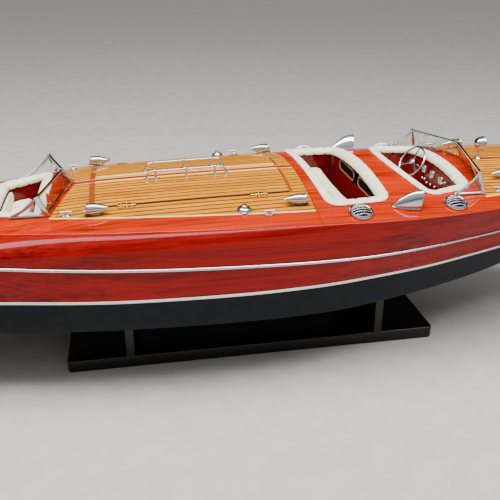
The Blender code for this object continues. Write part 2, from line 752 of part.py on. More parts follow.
def shield_points(name, side):
    """Corner points of one half of a windshield, and the line of its foot along the camber."""
    plan = WINDSHIELDS[name]
    clear = FRAME_HALF + GAP
    top_mid = Vector((plan["top_mid"][0], 0, plan["top_mid"][1]))
    x, y, z = plan["top_end"]
    top_end = Vector((x, side * y, z))
    foot = []
    steps = 4
    for i in range(steps + 1):
        share = i / steps
        x = plan["foot_mid"] + (plan["foot_end"][0] - plan["foot_mid"]) * share
        y = plan["foot_end"][1] * share
        foot.append(Vector((x, side * y, deck_z(x, y) + clear + 0.0002)))
    x, y = plan["wing"]
    wing = Vector((x, side * y, deck_z(x, y) + clear + 0.0002))
    return top_mid, top_end, foot, wing


def windshield_frame(name):
    """Chrome frame: centre post, rails, broad end posts and the wings that run aft."""
    label = "windshield_frame_" + name
    slim = FRAME_HALF
    parts = []
    for side in (1, -1):
        top_mid, top_end, foot, wing = shield_points(name, side)
        if side == 1:
            down = (foot[0] - top_mid).normalized()
            post = [top_mid - down * 0.0012, foot[0] + down * 0.0006]
            parts.append(bar(post, slim * 1.4, slim * 1.3, label))
        out = (top_end - top_mid).normalized()
        parts.append(bar([top_mid + out * 0.0007, top_end + out * 0.0003], slim, slim * 0.95, label))
        out = (foot[1] - foot[0]).normalized()
        parts.append(bar([foot[0] + out * 0.0007] + foot[1:], slim * 0.9, slim * 0.93, label))
        post_run = (foot[-1] - top_end).normalized()
        parts.append(bar([top_end - post_run * 0.0015, foot[-1] + post_run * 0.0004], 0.0022, slim * 1.25,
                         label, Vector((1, 0, 0.2))))
        parts.append(bar([top_end, wing], slim * 1.02, slim * 0.9, label))
        parts.append(bar([foot[-1], wing], slim * 0.8, slim * 0.83, label))
        heel = Vector((0.0016, 0.0011, 0.0010))
        parts.append(block(wing - heel, wing + heel, label))
    return add(label, joined(label, parts), "chrome")


def windshield_pane(name, side_name, side):
    """Glass inside the frame of one half of a windshield."""
    label = "windshield_glass_" + name + "_" + side_name
    top_mid, top_end, foot, _ = shield_points(name, side)
    wide = (foot[-1] - foot[0]).length
    first, last = 0.0018 / wide, 1 - 0.0034 / wide
    steps = 4
    half = 0.0004
    rings = []
    for i in range(steps + 1):
        share = first + (last - first) * i / steps
        place = share * (len(foot) - 1)
        k = min(int(place), len(foot) - 2)
        low = foot[k].lerp(foot[k + 1], place - k)
        high = top_mid.lerp(top_end, share)
        rise = (high - low).normalized()
        face = rise.cross((foot[-1] - foot[0]).normalized()).normalized()
        low = low + rise * 0.0016
        high = high - rise * 0.0014
        rings.append([low - face * half, high - face * half, high + face * half, low + face * half])
    return add(label, loft(rings, label, smooth=False), "glass")


# Deck fittings, each made once in its own frame and then set on the camber

def deck_frame(x, y, turn=0.0, lift=GAP):
    """Frame on the deck: its Z follows the camber, and turn swings it about that."""
    lean = Matrix.Rotation(-math.atan(y / CROWN_RADIUS), 4, "X")
    spot = Matrix.Translation((x, y, deck_z(x, y)))
    return spot @ lean @ Matrix.Rotation(turn, 4, "Z") @ Matrix.Translation((0, 0, lift))


def louvre_mesh():
    dome = turned(((0, 0), (0.0113, 0), (0.0113, 0.0012), (0.0098, 0.0026), (0.0092, 0.0036),
                   (0.0050, 0.0046), (0, 0.0049)), 18, "louvre")
    parts = [dome]
    for k in range(4):
        y = -0.0054 + 0.0036 * k
        half = math.sqrt(0.0080 ** 2 - y * y)
        parts.append(block((-half, y - 0.0007, 0.0030), (half, y + 0.0007, 0.0070), "slot"))
    return joined("louvre", parts, "DIFFERENCE")


def scoop_mesh(name, length, width, height, mouth_lean, wall=0.0008):
    """Ventilator like half a shell: a low tip that swells to an open mouth at +X."""
    arch = 8

    def ring(share, shrink, floor):
        grow = math.sin(0.5 * math.pi * min(share, 1.0)) ** 0.75
        half = width / 2 * (0.06 + 0.94 * grow) - shrink
        tall = height * (0.05 + 0.95 * share ** 0.85) - shrink
        points = []
        for k in range(arch + 1):
            angle = math.pi * k / arch
            rise = tall * math.sin(angle)
            x = length * share + mouth_lean * share * math.sin(angle)
            points.append(Vector((x, half * math.cos(angle), floor + max(rise - floor, 0.0))))
        return points

    outer = [ring(s, 0.0, 0.0) for s in (0.0, 0.12, 0.3, 0.55, 0.8, 1.0)]
    inner = [ring(s, wall, wall) for s in (1.0, 0.8, 0.55)]
    return loft(outer + inner, name)


def filler_mesh():
    return turned(((0, 0), (0.0067, 0), (0.0067, 0.0009), (0.0052, 0.0028), (0.0026, 0.0036),
                   (0.0024, 0.0052), (0, 0.0058)), 16, "filler")


def cleat_mesh():
    base = turned(((0, 0), (0.0036, 0), (0.0036, 0.0008), (0.0013, 0.0016), (0.0011, 0.0046),
                   (0, 0.0048)), 8, "cleat")
    base.transform(Matrix.Scale(0.62, 4, (0, 1, 0)))
    ends = [(-0.0058, 0, 0.0041), (-0.0050, 0, 0.0040), (0.0050, 0, 0.0040), (0.0058, 0, 0.0041)]
    rod = tube(ends, 0.0007, 6, "cleat_rod")
    return joined("cleat", [base, rod])


def lamp_mesh():
    stand = turned(((0, 0), (0.0032, 0), (0.0030, 0.0008), (0.0018, 0.0022), (0.0016, 0.0042),
                    (0.0009, 0.0050), (0.0009, 0.0105), (0, 0.0108)), 8, "lamp")
    head = turned(((0, -0.0060), (0.0030, -0.0055), (0.0056, -0.0030), (0.0071, 0.0012), (0.0074, 0.0040),
                   (0.0068, 0.0046), (0, 0.0050)), 14, "lamp_head")
    head.transform(Matrix.Translation((0, 0, 0.0165)) @ Matrix.Rotation(math.radians(90), 4, "Y"))
    return joined("lamp", [stand, head])


def fittings():
    """Pairs of deck fittings, then the searchlight on the centreline."""
    meshes = {"louvre": louvre_mesh(), "filler": filler_mesh(), "cleat": cleat_mesh(),
              "bullet": scoop_mesh("bullet", *BULLET_VENT), "clam": scoop_mesh("clam", *CLAM_VENT)}
    for side_name, side in (("port", 1), ("starboard", -1)):
        for name, (kind, x, y, turn, lift) in FITTINGS.items():
            add(name + "_" + side_name, meshes[kind], "chrome", deck_frame(x, side * y, turn, lift))
    add("searchlight", lamp_mesh(), "chrome", deck_frame(SEARCHLIGHT_X, 0.0, 0.0))


# Front cockpit: dashboard and steering

def dashboard():
    """Panel below the fore rim, with three round gauges and the steering column."""
    pit = COCKPITS["front"]
    half = DASH_HALF
    fore = DASH_X + DASH_THICKNESS
    outline = []
    steps = 10
    for i in range(steps + 1):
        y = -half + 2 * half * i / steps
        outline.append((y, deck_z(DASH_X, y) - LINER_DROP - 0.0006))
    low = pit["floor"] + 0.004
    points = [(-half, low)] + outline + [(half, low)]
    rings = [[Vector((x, y, z)) for y, z in points] for x in (DASH_X, fore)]
    parts = [loft(rings, "dashboard", smooth=False)]
    for y in GAUGE_Y:
        gauge = turned(((0, -0.001), (0.0050, -0.001), (0.0050, 0.0012), (0.0043, 0.0016), (0, 0.0016)), 14,
                       "gauge")
        gauge.transform(Matrix.Translation((DASH_X, y, GAUGE_Z)) @ Matrix.Rotation(math.radians(-90), 4, "Y"))
        parts.append(gauge)
    hub = WHEEL_CENTRE - WHEEL_NORMAL * 0.0030
    end = hub - WHEEL_NORMAL * ((DASH_X + 0.001 - hub.x) / -WHEEL_NORMAL.x)
    parts.append(tube([hub, end], 0.0016, 8, "column"))
    return add("dashboard", joined("dashboard", parts), "lining")


def steering_wheel():
    """Rim on three spokes; its origin is on the column's axis."""
    rings = []
    around = 20
    for i in range(around):
        angle = 2 * math.pi * i / around
        out = Vector((math.cos(angle), math.sin(angle), 0))
        middle = out * WHEEL_RADIUS
        turns = [2 * math.pi * k / 5 for k in range(5)]
        grip = [(WHEEL_GRIP * math.cos(a), WHEEL_GRIP * math.sin(a)) for a in turns]
        rings.append([middle + out * across + Vector((0, 0, up)) for across, up in grip])
    parts = [loft(rings, "wheel", wrap=True)]
    hub = turned(((0, -0.0025), (0.0022, -0.0025), (0.0030, -0.0010), (0.0026, 0.0012), (0, 0.0020)), 9,
                 "hub")
    parts.append(hub)
    for k in range(3):
        angle = math.radians(90 + 120 * k)
        out = Vector((math.cos(angle), math.sin(angle), 0))
        parts.append(bar([out * 0.001, out * WHEEL_RADIUS], 0.0011, 0.0005, "spoke",
                         Vector((-out.y, out.x, 0))))
    turn = WHEEL_NORMAL.to_track_quat("Z", "Y").to_matrix().to_4x4()
    return add("steering_wheel", joined("steering_wheel", parts), "chrome",
               Matrix.Translation(WHEEL_CENTRE) @ turn)


# Running gear

def shaft_direction():
    return (SHAFT_AFT - SHAFT_FORE).normalized()


def propeller_shaft():
    """Shaft with the log that it leaves the hull by and the strut that carries its end."""
    run = shaft_direction()
    parts = [tube([SHAFT_FORE, SHAFT_AFT], SHAFT_RADIUS, 10, "shaft")]
    log = block((-0.2640, -0.0022, 0.0395), (-0.2400, 0.0022, 0.0442), "log", 0.0005)
    parts.append(log)
    at = SHAFT_FORE + run * 0.108
    keel = line(KEEL_HEIGHT, at.x)
    parts.append(tube([at - run * 0.006, at + run * 0.006], 0.0025, 10, "strut_barrel"))
    parts.append(block((at.x - 0.004, -0.0009, at.z), (at.x + 0.004, 0.0009, keel - GAP - 0.0003), "leg"))
    return add("propeller_shaft", joined("propeller_shaft", parts), "brass")


def propeller():
    """Three-bladed screw; its origin is on the shaft's axis."""
    hub = turned(((0, -0.0060), (0.0024, -0.0060), (0.0030, -0.0030), (0.0028, 0.0035), (0.0014, 0.0060),
                  (0, 0.0066)), 9, "hub")
    parts = [hub]
    for k in range(3):
        rings = []
        for radius, chord, pitch in ((0.0012, 0.006, 62), (0.0050, 0.009, 50), (0.0090, 0.011, 38),
                                     (0.0120, 0.008, 30), (0.0132, 0.003, 27)):
            slant = math.radians(pitch)
            across = Vector((0, math.cos(slant), math.sin(slant))) * chord / 2
            thick = Vector((0, -math.sin(slant), math.cos(slant))) * 0.0005
            middle = Vector((radius, 0, 0))
            rings.append([middle + across, middle + thick, middle - across, middle - thick])
        blade = loft(rings, "blade")
        blade.transform(Matrix.Rotation(2 * math.pi * k / 3, 4, "Z"))
        parts.append(blade)
    run = shaft_direction()
    turn = run.to_track_quat("Z", "Y").to_matrix().to_4x4()
    place = SHAFT_AFT + run * (0.0060 + GAP + 0.0001)
    return add("propeller", joined("propeller", parts), "brass", Matrix.Translation(place) @ turn)


def rudder():
    """Blade on its stock; its origin is on the stock's axis."""
    keel = line(KEEL_HEIGHT, RUDDER_X)
    stock_top = keel - GAP - 0.0006
    blade_top = keel - 0.0045
    blade_low = 0.0190
    rings = []
    for z, fore, aft in ((blade_low, 0.004, 0.010), (blade_low + 0.004, 0.008, 0.014),
                         (blade_top - 0.006, 0.009, 0.016), (blade_top, 0.007, 0.015)):
        rings.append([Vector((fore, 0, z)), Vector((0.002, 0.0012, z)), Vector((-aft, 0.0002, z)),
                      Vector((-aft, -0.0002, z)), Vector((0.002, -0.0012, z))])
    blade = loft(rings, "blade")
    stock = turned(((0, blade_top - 0.010), (0.0016, blade_top - 0.010), (0.0016, stock_top),
                    (0, stock_top)), 10, "stock")
    mesh = joined("rudder", [blade, stock])
    return add("rudder", mesh, "brass", Matrix.Translation((RUDDER_X, 0, 0)))


# Stand

def base_board():
    half_x, half_y = BASE_LENGTH / 2, BASE_WIDTH / 2
    mesh = block((BASE_CENTRE_X - half_x, -half_y, 0), (BASE_CENTRE_X + half_x, half_y, BASE_HEIGHT),
                 "base_board", 0.0012, 2)
    return add("base_board", mesh, "black_gloss")


def cradle(name, x):
    """Upright cross plank, cut to the vee of the hull's bottom."""
    low, high = x - CRADLE_THICKNESS / 2, x + CRADLE_THICKNESS / 2
    half = BASE_WIDTH / 2
    clear = 0.0006

    def bottom_height(at, y):
        keel = line(KEEL_HEIGHT, at)
        chine = line(CHINE_HEIGHT, at)
        return keel + (chine - keel) * abs(y) / line(CHINE_HALF, at)

    rings = []
    for at in (low, high):
        top = [(y, min(bottom_height(low, y), bottom_height(high, y)) - clear) for y in (-half, 0.0, half)]
        points = [(-half, BASE_HEIGHT + GAP)] + top + [(half, BASE_HEIGHT + GAP)]
        rings.append([Vector((at, y, z)) for y, z in points])
    return add(name, loft(rings, name, smooth=False), "black_gloss")


def build():
    clear_scene()
    hull_bottom()
    hull = topsides()
    rub_strip()
    covering_boards()
    panels = deck_panels()
    cut_cockpits(hull, panels)
    hatch_openings(hull, panels["deck_engine"])
    for name in COCKPITS:
        rim(name)
        lining(name)
    for name, shape in SEATS.items():
        seat(name, *shape)
    for side_name, side in (("port", 1), ("starboard", -1)):
        leaf("hatch_" + side_name, side)
        handrail("handrail_" + side_name, side)
        for place, x in zip(("aft", "fore"), HINGE_X):
            hinge("hinge_" + side_name + "_" + place, x, side)
    for name in WINDSHIELDS:
        windshield_frame(name)
        for side_name, side in (("port", 1), ("starboard", -1)):
            windshield_pane(name, side_name, side)
    fittings()
    dashboard()
    steering_wheel()
    propeller_shaft()
    propeller()
    rudder()
    base_board()
    for name, x in CRADLE_X.items():
        cradle(name, x)


build()
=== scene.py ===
import math

import bmesh
import bpy
from mathutils import Matrix, Vector


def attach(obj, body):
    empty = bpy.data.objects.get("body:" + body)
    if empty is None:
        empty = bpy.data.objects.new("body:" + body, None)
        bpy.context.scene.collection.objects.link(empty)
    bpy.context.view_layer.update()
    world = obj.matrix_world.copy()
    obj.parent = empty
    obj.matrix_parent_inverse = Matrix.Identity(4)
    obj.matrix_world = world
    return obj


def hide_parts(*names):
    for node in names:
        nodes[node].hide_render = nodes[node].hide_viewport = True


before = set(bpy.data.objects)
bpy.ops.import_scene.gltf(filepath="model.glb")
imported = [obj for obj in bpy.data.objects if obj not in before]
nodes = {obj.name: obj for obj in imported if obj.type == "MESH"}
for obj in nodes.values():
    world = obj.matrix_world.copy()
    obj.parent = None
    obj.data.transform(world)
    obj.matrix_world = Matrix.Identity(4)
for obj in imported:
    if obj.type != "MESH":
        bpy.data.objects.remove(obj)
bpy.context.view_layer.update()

mm = 0.001
sides = (("port", 1), ("starboard", -1))

# Camera, floor and light

print("camera, floor and light")
viewpoint = {"place": (-0.1667, -0.6604, 0.3955), "lens": 49.36, "tilt": 65.97, "turn": -10.41}
cameraData = bpy.data.cameras.new("viewpoint")
cameraData.lens = viewpoint["lens"]
cameraData.sensor_width = 36.0
cameraData.clip_start = 0.01
camera = bpy.data.objects.new("viewpoint", cameraData)
camera.location = viewpoint["place"]
camera.rotation_euler = (math.radians(viewpoint["tilt"]), 0.0, math.radians(viewpoint["turn"]))
bpy.context.collection.objects.link(camera)
bpy.context.scene.camera = camera

softBoxes = {
    "overhead": {"place": (-0.10, -0.30, 1.50), "aim": (0.0, 0.0, 0.15), "size": (2.6, 0.7), "watts": 62.0},
}
for name, box in softBoxes.items():
    lamp = bpy.data.lights.new(name, "AREA")
    lamp.shape = "RECTANGLE"
    lamp.size, lamp.size_y = box["size"]
    lamp.energy = box["watts"]
    holder = bpy.data.objects.new(name, lamp)
    holder.location = box["place"]
    aim = Vector(box["aim"]) - Vector(box["place"])
    holder.rotation_euler = aim.to_track_quat("-Z", "Y").to_euler()
    bpy.context.collection.objects.link(holder)


# Materials

def hexLinear(code):
    shares = [int(code[i:i + 2], 16) / 255 for i in (1, 3, 5)]
    linear = [s / 12.92 if s <= 0.04045 else ((s + 0.055) / 1.055) ** 2.4 for s in shares]
    return (*linear, 1.0)


def socketNamed(sockets, key):
    if isinstance(key, int):
        return sockets[key]
    return next(s for s in sockets if s.name == key and s.enabled)


def connect(tree, node, links):
    for key, source in links.items():
        if isinstance(source, bpy.types.Node):
            source = next(s for s in source.outputs if s.enabled)
        tree.links.new(source, socketNamed(node.inputs, key))


def addNode(tree, kind, settings=None, links=None):
    node = tree.nodes.new("ShaderNode" + kind)
    for key, value in (settings or {}).items():
        if key == "stops":
            elements = node.color_ramp.elements
            while len(elements) < len(value):
                elements.new(0.5)
            for element, (place, colour) in zip(elements, value):
                element.position = place
                element.color = hexLinear(colour)
        elif isinstance(key, str) and hasattr(node, key):
            setattr(node, key, value)
        else:
            socketNamed(node.inputs, key).default_value = value
    connect(tree, node, links or {})
    return node


def calculate(tree, operation, *terms):
    numbers = {i: term for i, term in enumerate(terms) if isinstance(term, float)}
    sources = {i: term for i, term in enumerate(terms) if i not in numbers}
    return addNode(tree, "Math", {"operation": operation, **numbers}, sources)


def spread(tree, source, low, high, start=0.0, stop=1.0):
    return addNode(tree, "MapRange", {"From Min": start, "From Max": stop, "To Min": low, "To Max": high},
                   {"Value": source})


def noise(tree, place, grain, detail, **more):
    return addNode(tree, "TexNoise", {"Scale": 1.0 / grain, "Detail": detail, **more}, {"Vector": place})


def bump(tree, height, strength, depth):
    return addNode(tree, "Bump", {"Strength": strength, "Distance": depth}, {"Height": height})


def blend(tree, under, over, share, kind="MIX"):
    # over laid on under; over may be a colour code, and share a number
    settings, links = {"data_type": "RGBA", "blend_type": kind}, {"A": under}
    if isinstance(over, str):
        settings["B"] = hexLinear(over)
    else:
        links["B"] = over
    if isinstance(share, float):
        settings["Factor"] = share
    else:
        links["Factor"] = share
    return addNode(tree, "Mix", settings, links)


def newMaterial(name, settings):
    material = bpy.data.materials.new(name)
    material.use_nodes = True
    tree = material.node_tree
    shader = tree.nodes["Principled BSDF"]
    for key, value in settings.items():
        shader.inputs[key].default_value = value
    place = addNode(tree, "TexCoord").outputs["Object"]
    return material, tree, shader, place


def mottled(name, settings, grain, detail, stops, rough=None, dent=None, relief=None, **more):
    # colours and roughness that wander over a noise, with dents from the same noise or from a relief
    material, tree, shader, place = newMaterial(name, settings)
    cloud = noise(tree, place, grain, detail, **more)
    links = {"Base Color": addNode(tree, "ValToRGB", {"stops": stops}, {"Fac": cloud})}
    if rough:
        links["Roughness"] = spread(tree, cloud, *rough)
    if dent:
        links["Normal"] = bump(tree, relief(tree, place) if relief else cloud, *dent)
    connect(tree, shader, links)
    return material


def woodGrain(tree, place, wood):
    # fine pores drawn out along the board, over slow bands of colour
    drawn = addNode(tree, "Mapping", {"Scale": (wood["across"] / wood["along"], 1.0, 1.0)}, {"Vector": place})
    fine = noise(tree, drawn, wood["across"], 4.0, Roughness=0.55, Distortion=0.1)
    slow = noise(tree, drawn, wood["band"], 2.0, Roughness=0.5)
    both = addNode(tree, "Mix", {"data_type": "FLOAT", "Factor": wood["bandShare"]}, {"A": fine, "B": slow})
    return addNode(tree, "ValToRGB", {"stops": wood["stops"]}, {"Fac": both}), fine


# Sides: mahogany planks stained dark red under many rubbed coats of varnish, so a mirror over deep grain
sideWood = {"across": 1.7 * mm, "along": 320 * mm, "band": 9 * mm, "bandShare": 0.4,
            "stops": ((0.30, "#480100"), (0.42, "#780200"), (0.54, "#920400"), (0.70, "#A80A00"))}
varnish = {"Roughness": 0.35, "Specular IOR Level": 0.0, "Coat Weight": 0.45, "Coat Roughness": 0.03,
           "Coat IOR": 1.5}     # the wood under the coat has no shine of its own


def varnishedWood(name, wood, poreDepth=0.02 * mm):
    material, tree, shader, place = newMaterial(name, varnish)
    colour, pores = woodGrain(tree, place, wood)
    connect(tree, shader, {"Base Color": colour, "Normal": bump(tree, pores, 0.5, poreDepth)})
    return material


varnishedMahogany = varnishedWood("varnishedMahogany", sideWood)

# Deck margins: a lighter, orange-stained mahogany under the same varnish
deckWood = {"across": 2.0 * mm, "along": 130 * mm, "band": 9 * mm, "bandShare": 0.4,
            "stops": ((0.34, "#701200"), (0.44, "#A02000"), (0.55, "#BC2C00"), (0.72, "#CE3E00"))}
varnishedDeckWood = varnishedWood("varnishedDeckWood", deckWood)

# Teak planks of the deck with dark caulked seams, a little sunk, under the varnish
teakWood = {"across": 1.1 * mm, "along": 30 * mm, "band": 5 * mm, "bandShare": 0.35,
            "stops": ((0.28, "#9E540C"), (0.45, "#C87C1A"), (0.60, "#DA9228"), (0.78, "#EEB254"))}
crossWood = {"across": 1.2 * mm, "along": 6 * mm, "band": 5 * mm, "bandShare": 0.3,
             "stops": ((0.3, "#6E2E10"), (0.6, "#94501E"), (0.8, "#AC6430"))}
planking = {"pitch": 6.2 * mm, "firstSeam": 1.6 * mm, "seamHalf": 0.75 * mm, "kingHalf": 4.1 * mm,
            "paleHalf": 5.4 * mm, "seamColour": "#521A02", "paleColour": "#EBCF86"}


def linearTest(tree, x, side, test):
    # one where a * x + b * |y| + c is above zero
    a, b, c = test
    across = calculate(tree, "MULTIPLY_ADD", side, b, c)
    return calculate(tree, "GREATER_THAN", calculate(tree, "MULTIPLY_ADD", x, a, across), 0.0)


def plankedDeck(name, teakTests, crossPlanks=(), paleBands=(), join="MULTIPLY"):
    # join is MULTIPLY where every test has to hold for teak, MAXIMUM where one is enough
    material, tree, shader, place = newMaterial(name, varnish)
    axes = addNode(tree, "SeparateXYZ", {}, {"Vector": place})
    x, y = axes.outputs["X"], axes.outputs["Y"]
    side = calculate(tree, "ABSOLUTE", y)
    shifted = calculate(tree, "SUBTRACT", side, planking["firstSeam"])
    count = calculate(tree, "DIVIDE", shifted, planking["pitch"])
    plank = addNode(tree, "CombineXYZ", {},
                    {"X": calculate(tree, "FLOOR", count), "Y": calculate(tree, "SIGN", y)})
    chance = addNode(tree, "TexWhiteNoise", {"noise_dimensions": "2D"}, {"Vector": plank})
    away = addNode(tree, "VectorMath", {"operation": "SCALE", "Scale": 3.0}, {0: chance.outputs["Color"]})
    apart = addNode(tree, "VectorMath", {"operation": "ADD"}, {0: place, 1: away})
    teak, pores = woodGrain(tree, apart, teakWood)
    colour = blend(tree, teak, spread(tree, chance.outputs["Value"], 0.80, 1.08), 1.0, "MULTIPLY")
    share = planking["seamHalf"] / planking["pitch"]
    seam = spread(tree, calculate(tree, "PINGPONG", count, 0.5), 1.0, 0.0, share * 0.55, share * 1.25)
    colour = blend(tree, colour, planking["seamColour"], seam)
    king, pale = planking["kingHalf"], planking["paleHalf"]
    for middle, half in (((king + pale) / 2, (pale - king) / 2), *paleBands):
        colour = blend(tree, colour, planking["paleColour"], calculate(tree, "COMPARE", side, middle, half))
    for low, high, inner, outer in crossPlanks:
        along = calculate(tree, "COMPARE", x, (low + high) / 2, (high - low) / 2)
        across = calculate(tree, "COMPARE", side, (inner + outer) / 2, (outer - inner) / 2)
        cross, _ = woodGrain(tree, place, crossWood)
        colour = blend(tree, colour, cross, calculate(tree, "MULTIPLY", along, across))
    keep = calculate(tree, "GREATER_THAN", side, king)
    if teakTests:
        inside = linearTest(tree, x, side, teakTests[0])
        for test in teakTests[1:]:
            inside = calculate(tree, join, inside, linearTest(tree, x, side, test))
        keep = calculate(tree, "MULTIPLY", keep, inside)
    mahogany, _ = woodGrain(tree, place, deckWood)
    colour = blend(tree, mahogany, colour, keep)
    relief = calculate(tree, "MULTIPLY_ADD", calculate(tree, "MULTIPLY", seam, keep), -1.0, pores)
    connect(tree, shader, {"Base Color": colour, "Normal": bump(tree, relief, 0.6, 0.03 * mm)})
    return material


# Teak starts at x0 - slant * |y|, given as (slant, x0)
teakStarts = {"engine": (0.298, -0.2185), "fore": (0.30, 0.196)}
rearTeakEnd = -0.310
engineStart, foreStart = ((1.0, slant, -x0) for slant, x0 in teakStarts.values())
crossEnds = ((-205.4 * mm, -200.3 * mm, 5.0 * mm, 62.0 * mm), (-19.0 * mm, -15.7 * mm, 5.0 * mm, 62.0 * mm))
aftPlanking = plankedDeck("aftPlanking", ((-1.0, 0.0, rearTeakEnd), engineStart), join="MAXIMUM")
enginePlanking = plankedDeck("enginePlanking", (engineStart, (-1.0, 0.0, -0.0024)), crossEnds)
cockpitPlanking = plankedDeck("cockpitPlanking", (foreStart,))
forePlanking = plankedDeck("forePlanking", (foreStart,))
leafPlanking = plankedDeck("leafPlanking", (), paleBands=((7.75 * mm, 1.75 * mm),))

# Boxwood edging let in round the teak, nearly white-yellow with a very fine grain
edgingWood = {"across": 0.6 * mm, "along": 20 * mm, "band": 6 * mm, "bandShare": 0.4,
              "stops": ((0.3, "#DDBB68"), (0.6, "#EED58D"), (0.8, "#F5E3A6"))}
boxwoodEdging = varnishedWood("boxwoodEdging", edgingWood, 0.008 * mm)


def brushStrokes(tree, place):
    drawn = addNode(tree, "Mapping", {"Scale": (0.04, 1.0, 1.0)}, {"Vector": place})
    return noise(tree, drawn, 0.9 * mm, 3.0)


# Bottom: brushed marine enamel, satin blue-black, faintly clouded
bottomEnamel = mottled("bottomEnamel", {"Roughness": 0.34, "Specular IOR Level": 0.12}, 14 * mm, 4.0,
                       ((0.35, "#04060C"), (0.65, "#080E1C")), (0.28, 0.46), (0.35, 0.03 * mm), brushStrokes)
# Boot line: white gloss enamel, ruled with a pen, slightly uneven in tone
bootEnamel = mottled("bootEnamel", {"Roughness": 0.22, "Coat Weight": 0.4}, 6 * mm, 3.0,
                     ((0.3, "#F0EFEA"), (0.7, "#FCFCF9")))


def pressedGrain(tree, place):
    return addNode(tree, "TexVoronoi", {"feature": "DISTANCE_TO_EDGE", "Scale": 1.0 / (0.55 * mm)},
                   {"Vector": place})


# Upholstery: cream vinyl over foam, a soft sheen broken by a fine pressed grain
creamVinyl = mottled("creamVinyl", {"Roughness": 0.42, "Sheen Weight": 0.05, "Sheen Roughness": 0.5},
                     9 * mm, 4.0, ((0.32, "#F4EAC4"), (0.68, "#FFFAE6")), (0.36, 0.50), (0.35, 0.05 * mm),
                     pressedGrain)

# Cockpit insides: maroon lacquer sprayed on thin ply, grain just telegraphing through
liningWood = {"across": 1.4 * mm, "along": 14 * mm, "band": 8 * mm, "bandShare": 0.5,
              "stops": ((0.30, "#4A0807"), (0.50, "#741110"), (0.72, "#8C1A14"))}
maroonLacquer = varnishedWood("maroonLacquer", liningWood, 0.012 * mm)


def metalFinish(name, colour, low, high, wear):
    material, tree, shader, place = newMaterial(name, {"Base Color": hexLinear(colour), "Metallic": 1.0})
    film = noise(tree, place, wear, 4.0)
    connect(tree, shader, {"Roughness": spread(tree, film, low, high, 0.35, 0.7),
                           "Normal": bump(tree, film, 0.12, 0.02 * mm)})
    return material


# Fittings: chromium plate on buffed castings, a mirror with a little handling haze
polishedChrome = metalFinish("polishedChrome", "#CFD2D6", 0.04, 0.13, 3.0 * mm)
# Hinges, screw and rudder: polished yellow brass, going slightly dull
polishedBrass = metalFinish("polishedBrass", "#E3BE62", 0.12, 0.28, 2.0 * mm)
# Inside of the ventilators: gilt paint, its colour darkened as painted shade for the shadow in the throats
shadedGiltThroat = metalFinish("shadedGiltThroat", "#8A6A2C", 0.30, 0.50, 1.5 * mm)

# Stand: black piano lacquer, faintly dusty and rubbed dull in patches
blackLacquer = mottled("blackLacquer", {"Specular IOR Level": 0.25, "Coat Weight": 0.3}, 5 * mm, 6.0,
                       ((0.40, "#080706"), (0.75, "#12100E")), (0.22, 0.42), Roughness=0.7)

# Windshields: clear acrylic sheet, polished, with the faintest green
clearAcrylic, tree, shader, place = newMaterial("clearAcrylic", {
    "Base Color": hexLinear("#F4FBF9"), "Transmission Weight": 1.0, "IOR": 1.49})
connect(tree, shader, {"Roughness": spread(tree, noise(tree, place, 4 * mm, 3.0), 0.0, 0.04)})

# Pocket edging and trims: tan leather cord, waxed
tanCord = mottled("tanCord", {"Roughness": 0.5}, 0.8 * mm, 4.0, ((0.35, "#7D4E34"), (0.70, "#A8765A")),
                  dent=(0.5, 0.06 * mm))
# Painted shade: a near-black, very rough sheet put in the pockets and behind the louvres where there is only
# shadow; the same black is also the real ink of the gauge ticks and needles
inkAndShadeBlack = mottled("inkAndShadeBlack", {"Roughness": 0.95, "Specular IOR Level": 0.1}, 0.7 * mm, 5.0,
                    ((0.35, "#080302"), (0.70, "#140A08")))
# Gauge faces: printed silver-grey card, matt
dialCard = mottled("dialCard", {"Roughness": 0.6}, 0.6 * mm, 2.0, ((0.3, "#A9AEB0"), (0.7, "#C3C7C6")))
# Floor: pale plaster-like sheet, quite matt
paleFloor = mottled("paleFloor", {"Roughness": 0.75}, 30 * mm, 6.0, ((0.3, "#B9B6B1"), (0.7, "#C6C3BE")),
                    Roughness=0.65)

# Sky: even studio white above and on the near side, with a dark backdrop low on the far side
world = bpy.data.worlds.new("studio")
world.use_nodes = True
bpy.context.scene.world = world
sky = world.node_tree
upward = addNode(sky, "SeparateXYZ", {}, {"Vector": addNode(sky, "TexCoord").outputs["Generated"]})
shade = addNode(sky, "ValToRGB",
                {"stops": ((0.0, "#6E6C69"), (0.12, "#9B9A98"), (0.45, "#C9CBCD"), (1.0, "#F4F6F8"))},
                {"Fac": upward.outputs["Z"]})
beyond = spread(sky, upward.outputs["Y"], 0.0, 1.0, -0.1, 0.5)
low = spread(sky, upward.outputs["Z"], 0.0, 1.0, 0.95, 0.70)
backed = blend(sky, shade, "#2A2A2C", calculate(sky, "MULTIPLY", beyond, low))
connect(sky, sky.nodes["Background"], {"Color": backed})
sky.nodes["Background"].inputs["Strength"].default_value = 1.0


# Shapes: each is a list of points and a list of faces

forward, sideways, upright = Vector((1, 0, 0)), Vector((0, 1, 0)), Vector((0, 0, 1))


def ringSkin(rings, wrap=False, loop=True, capped=True):
    points = [Vector(p) for ring in rings for p in ring]
    count = len(rings[0])
    pairs = [(i, i + 1) for i in range(len(rings) - 1)]
    if wrap:
        pairs.append((len(rings) - 1, 0))
    faces = []
    for low, high in pairs:
        for k in range(count if loop else count - 1):
            n = (k + 1) % count
            faces.append((low * count + k, low * count + n, high * count + n, high * count + k))
    if capped and loop and not wrap:
        faces.append(tuple(range(count)))
        faces.append(tuple(range((len(rings) - 1) * count, len(rings) * count)))
    return points, faces


def millimetres(profile):
    return [(a * mm, b * mm) for a, b in profile]


def roundSection(radius, segments):
    angles = [2 * math.pi * k / segments for k in range(segments)]
    return [(radius * math.cos(angle), radius * math.sin(angle)) for angle in angles]


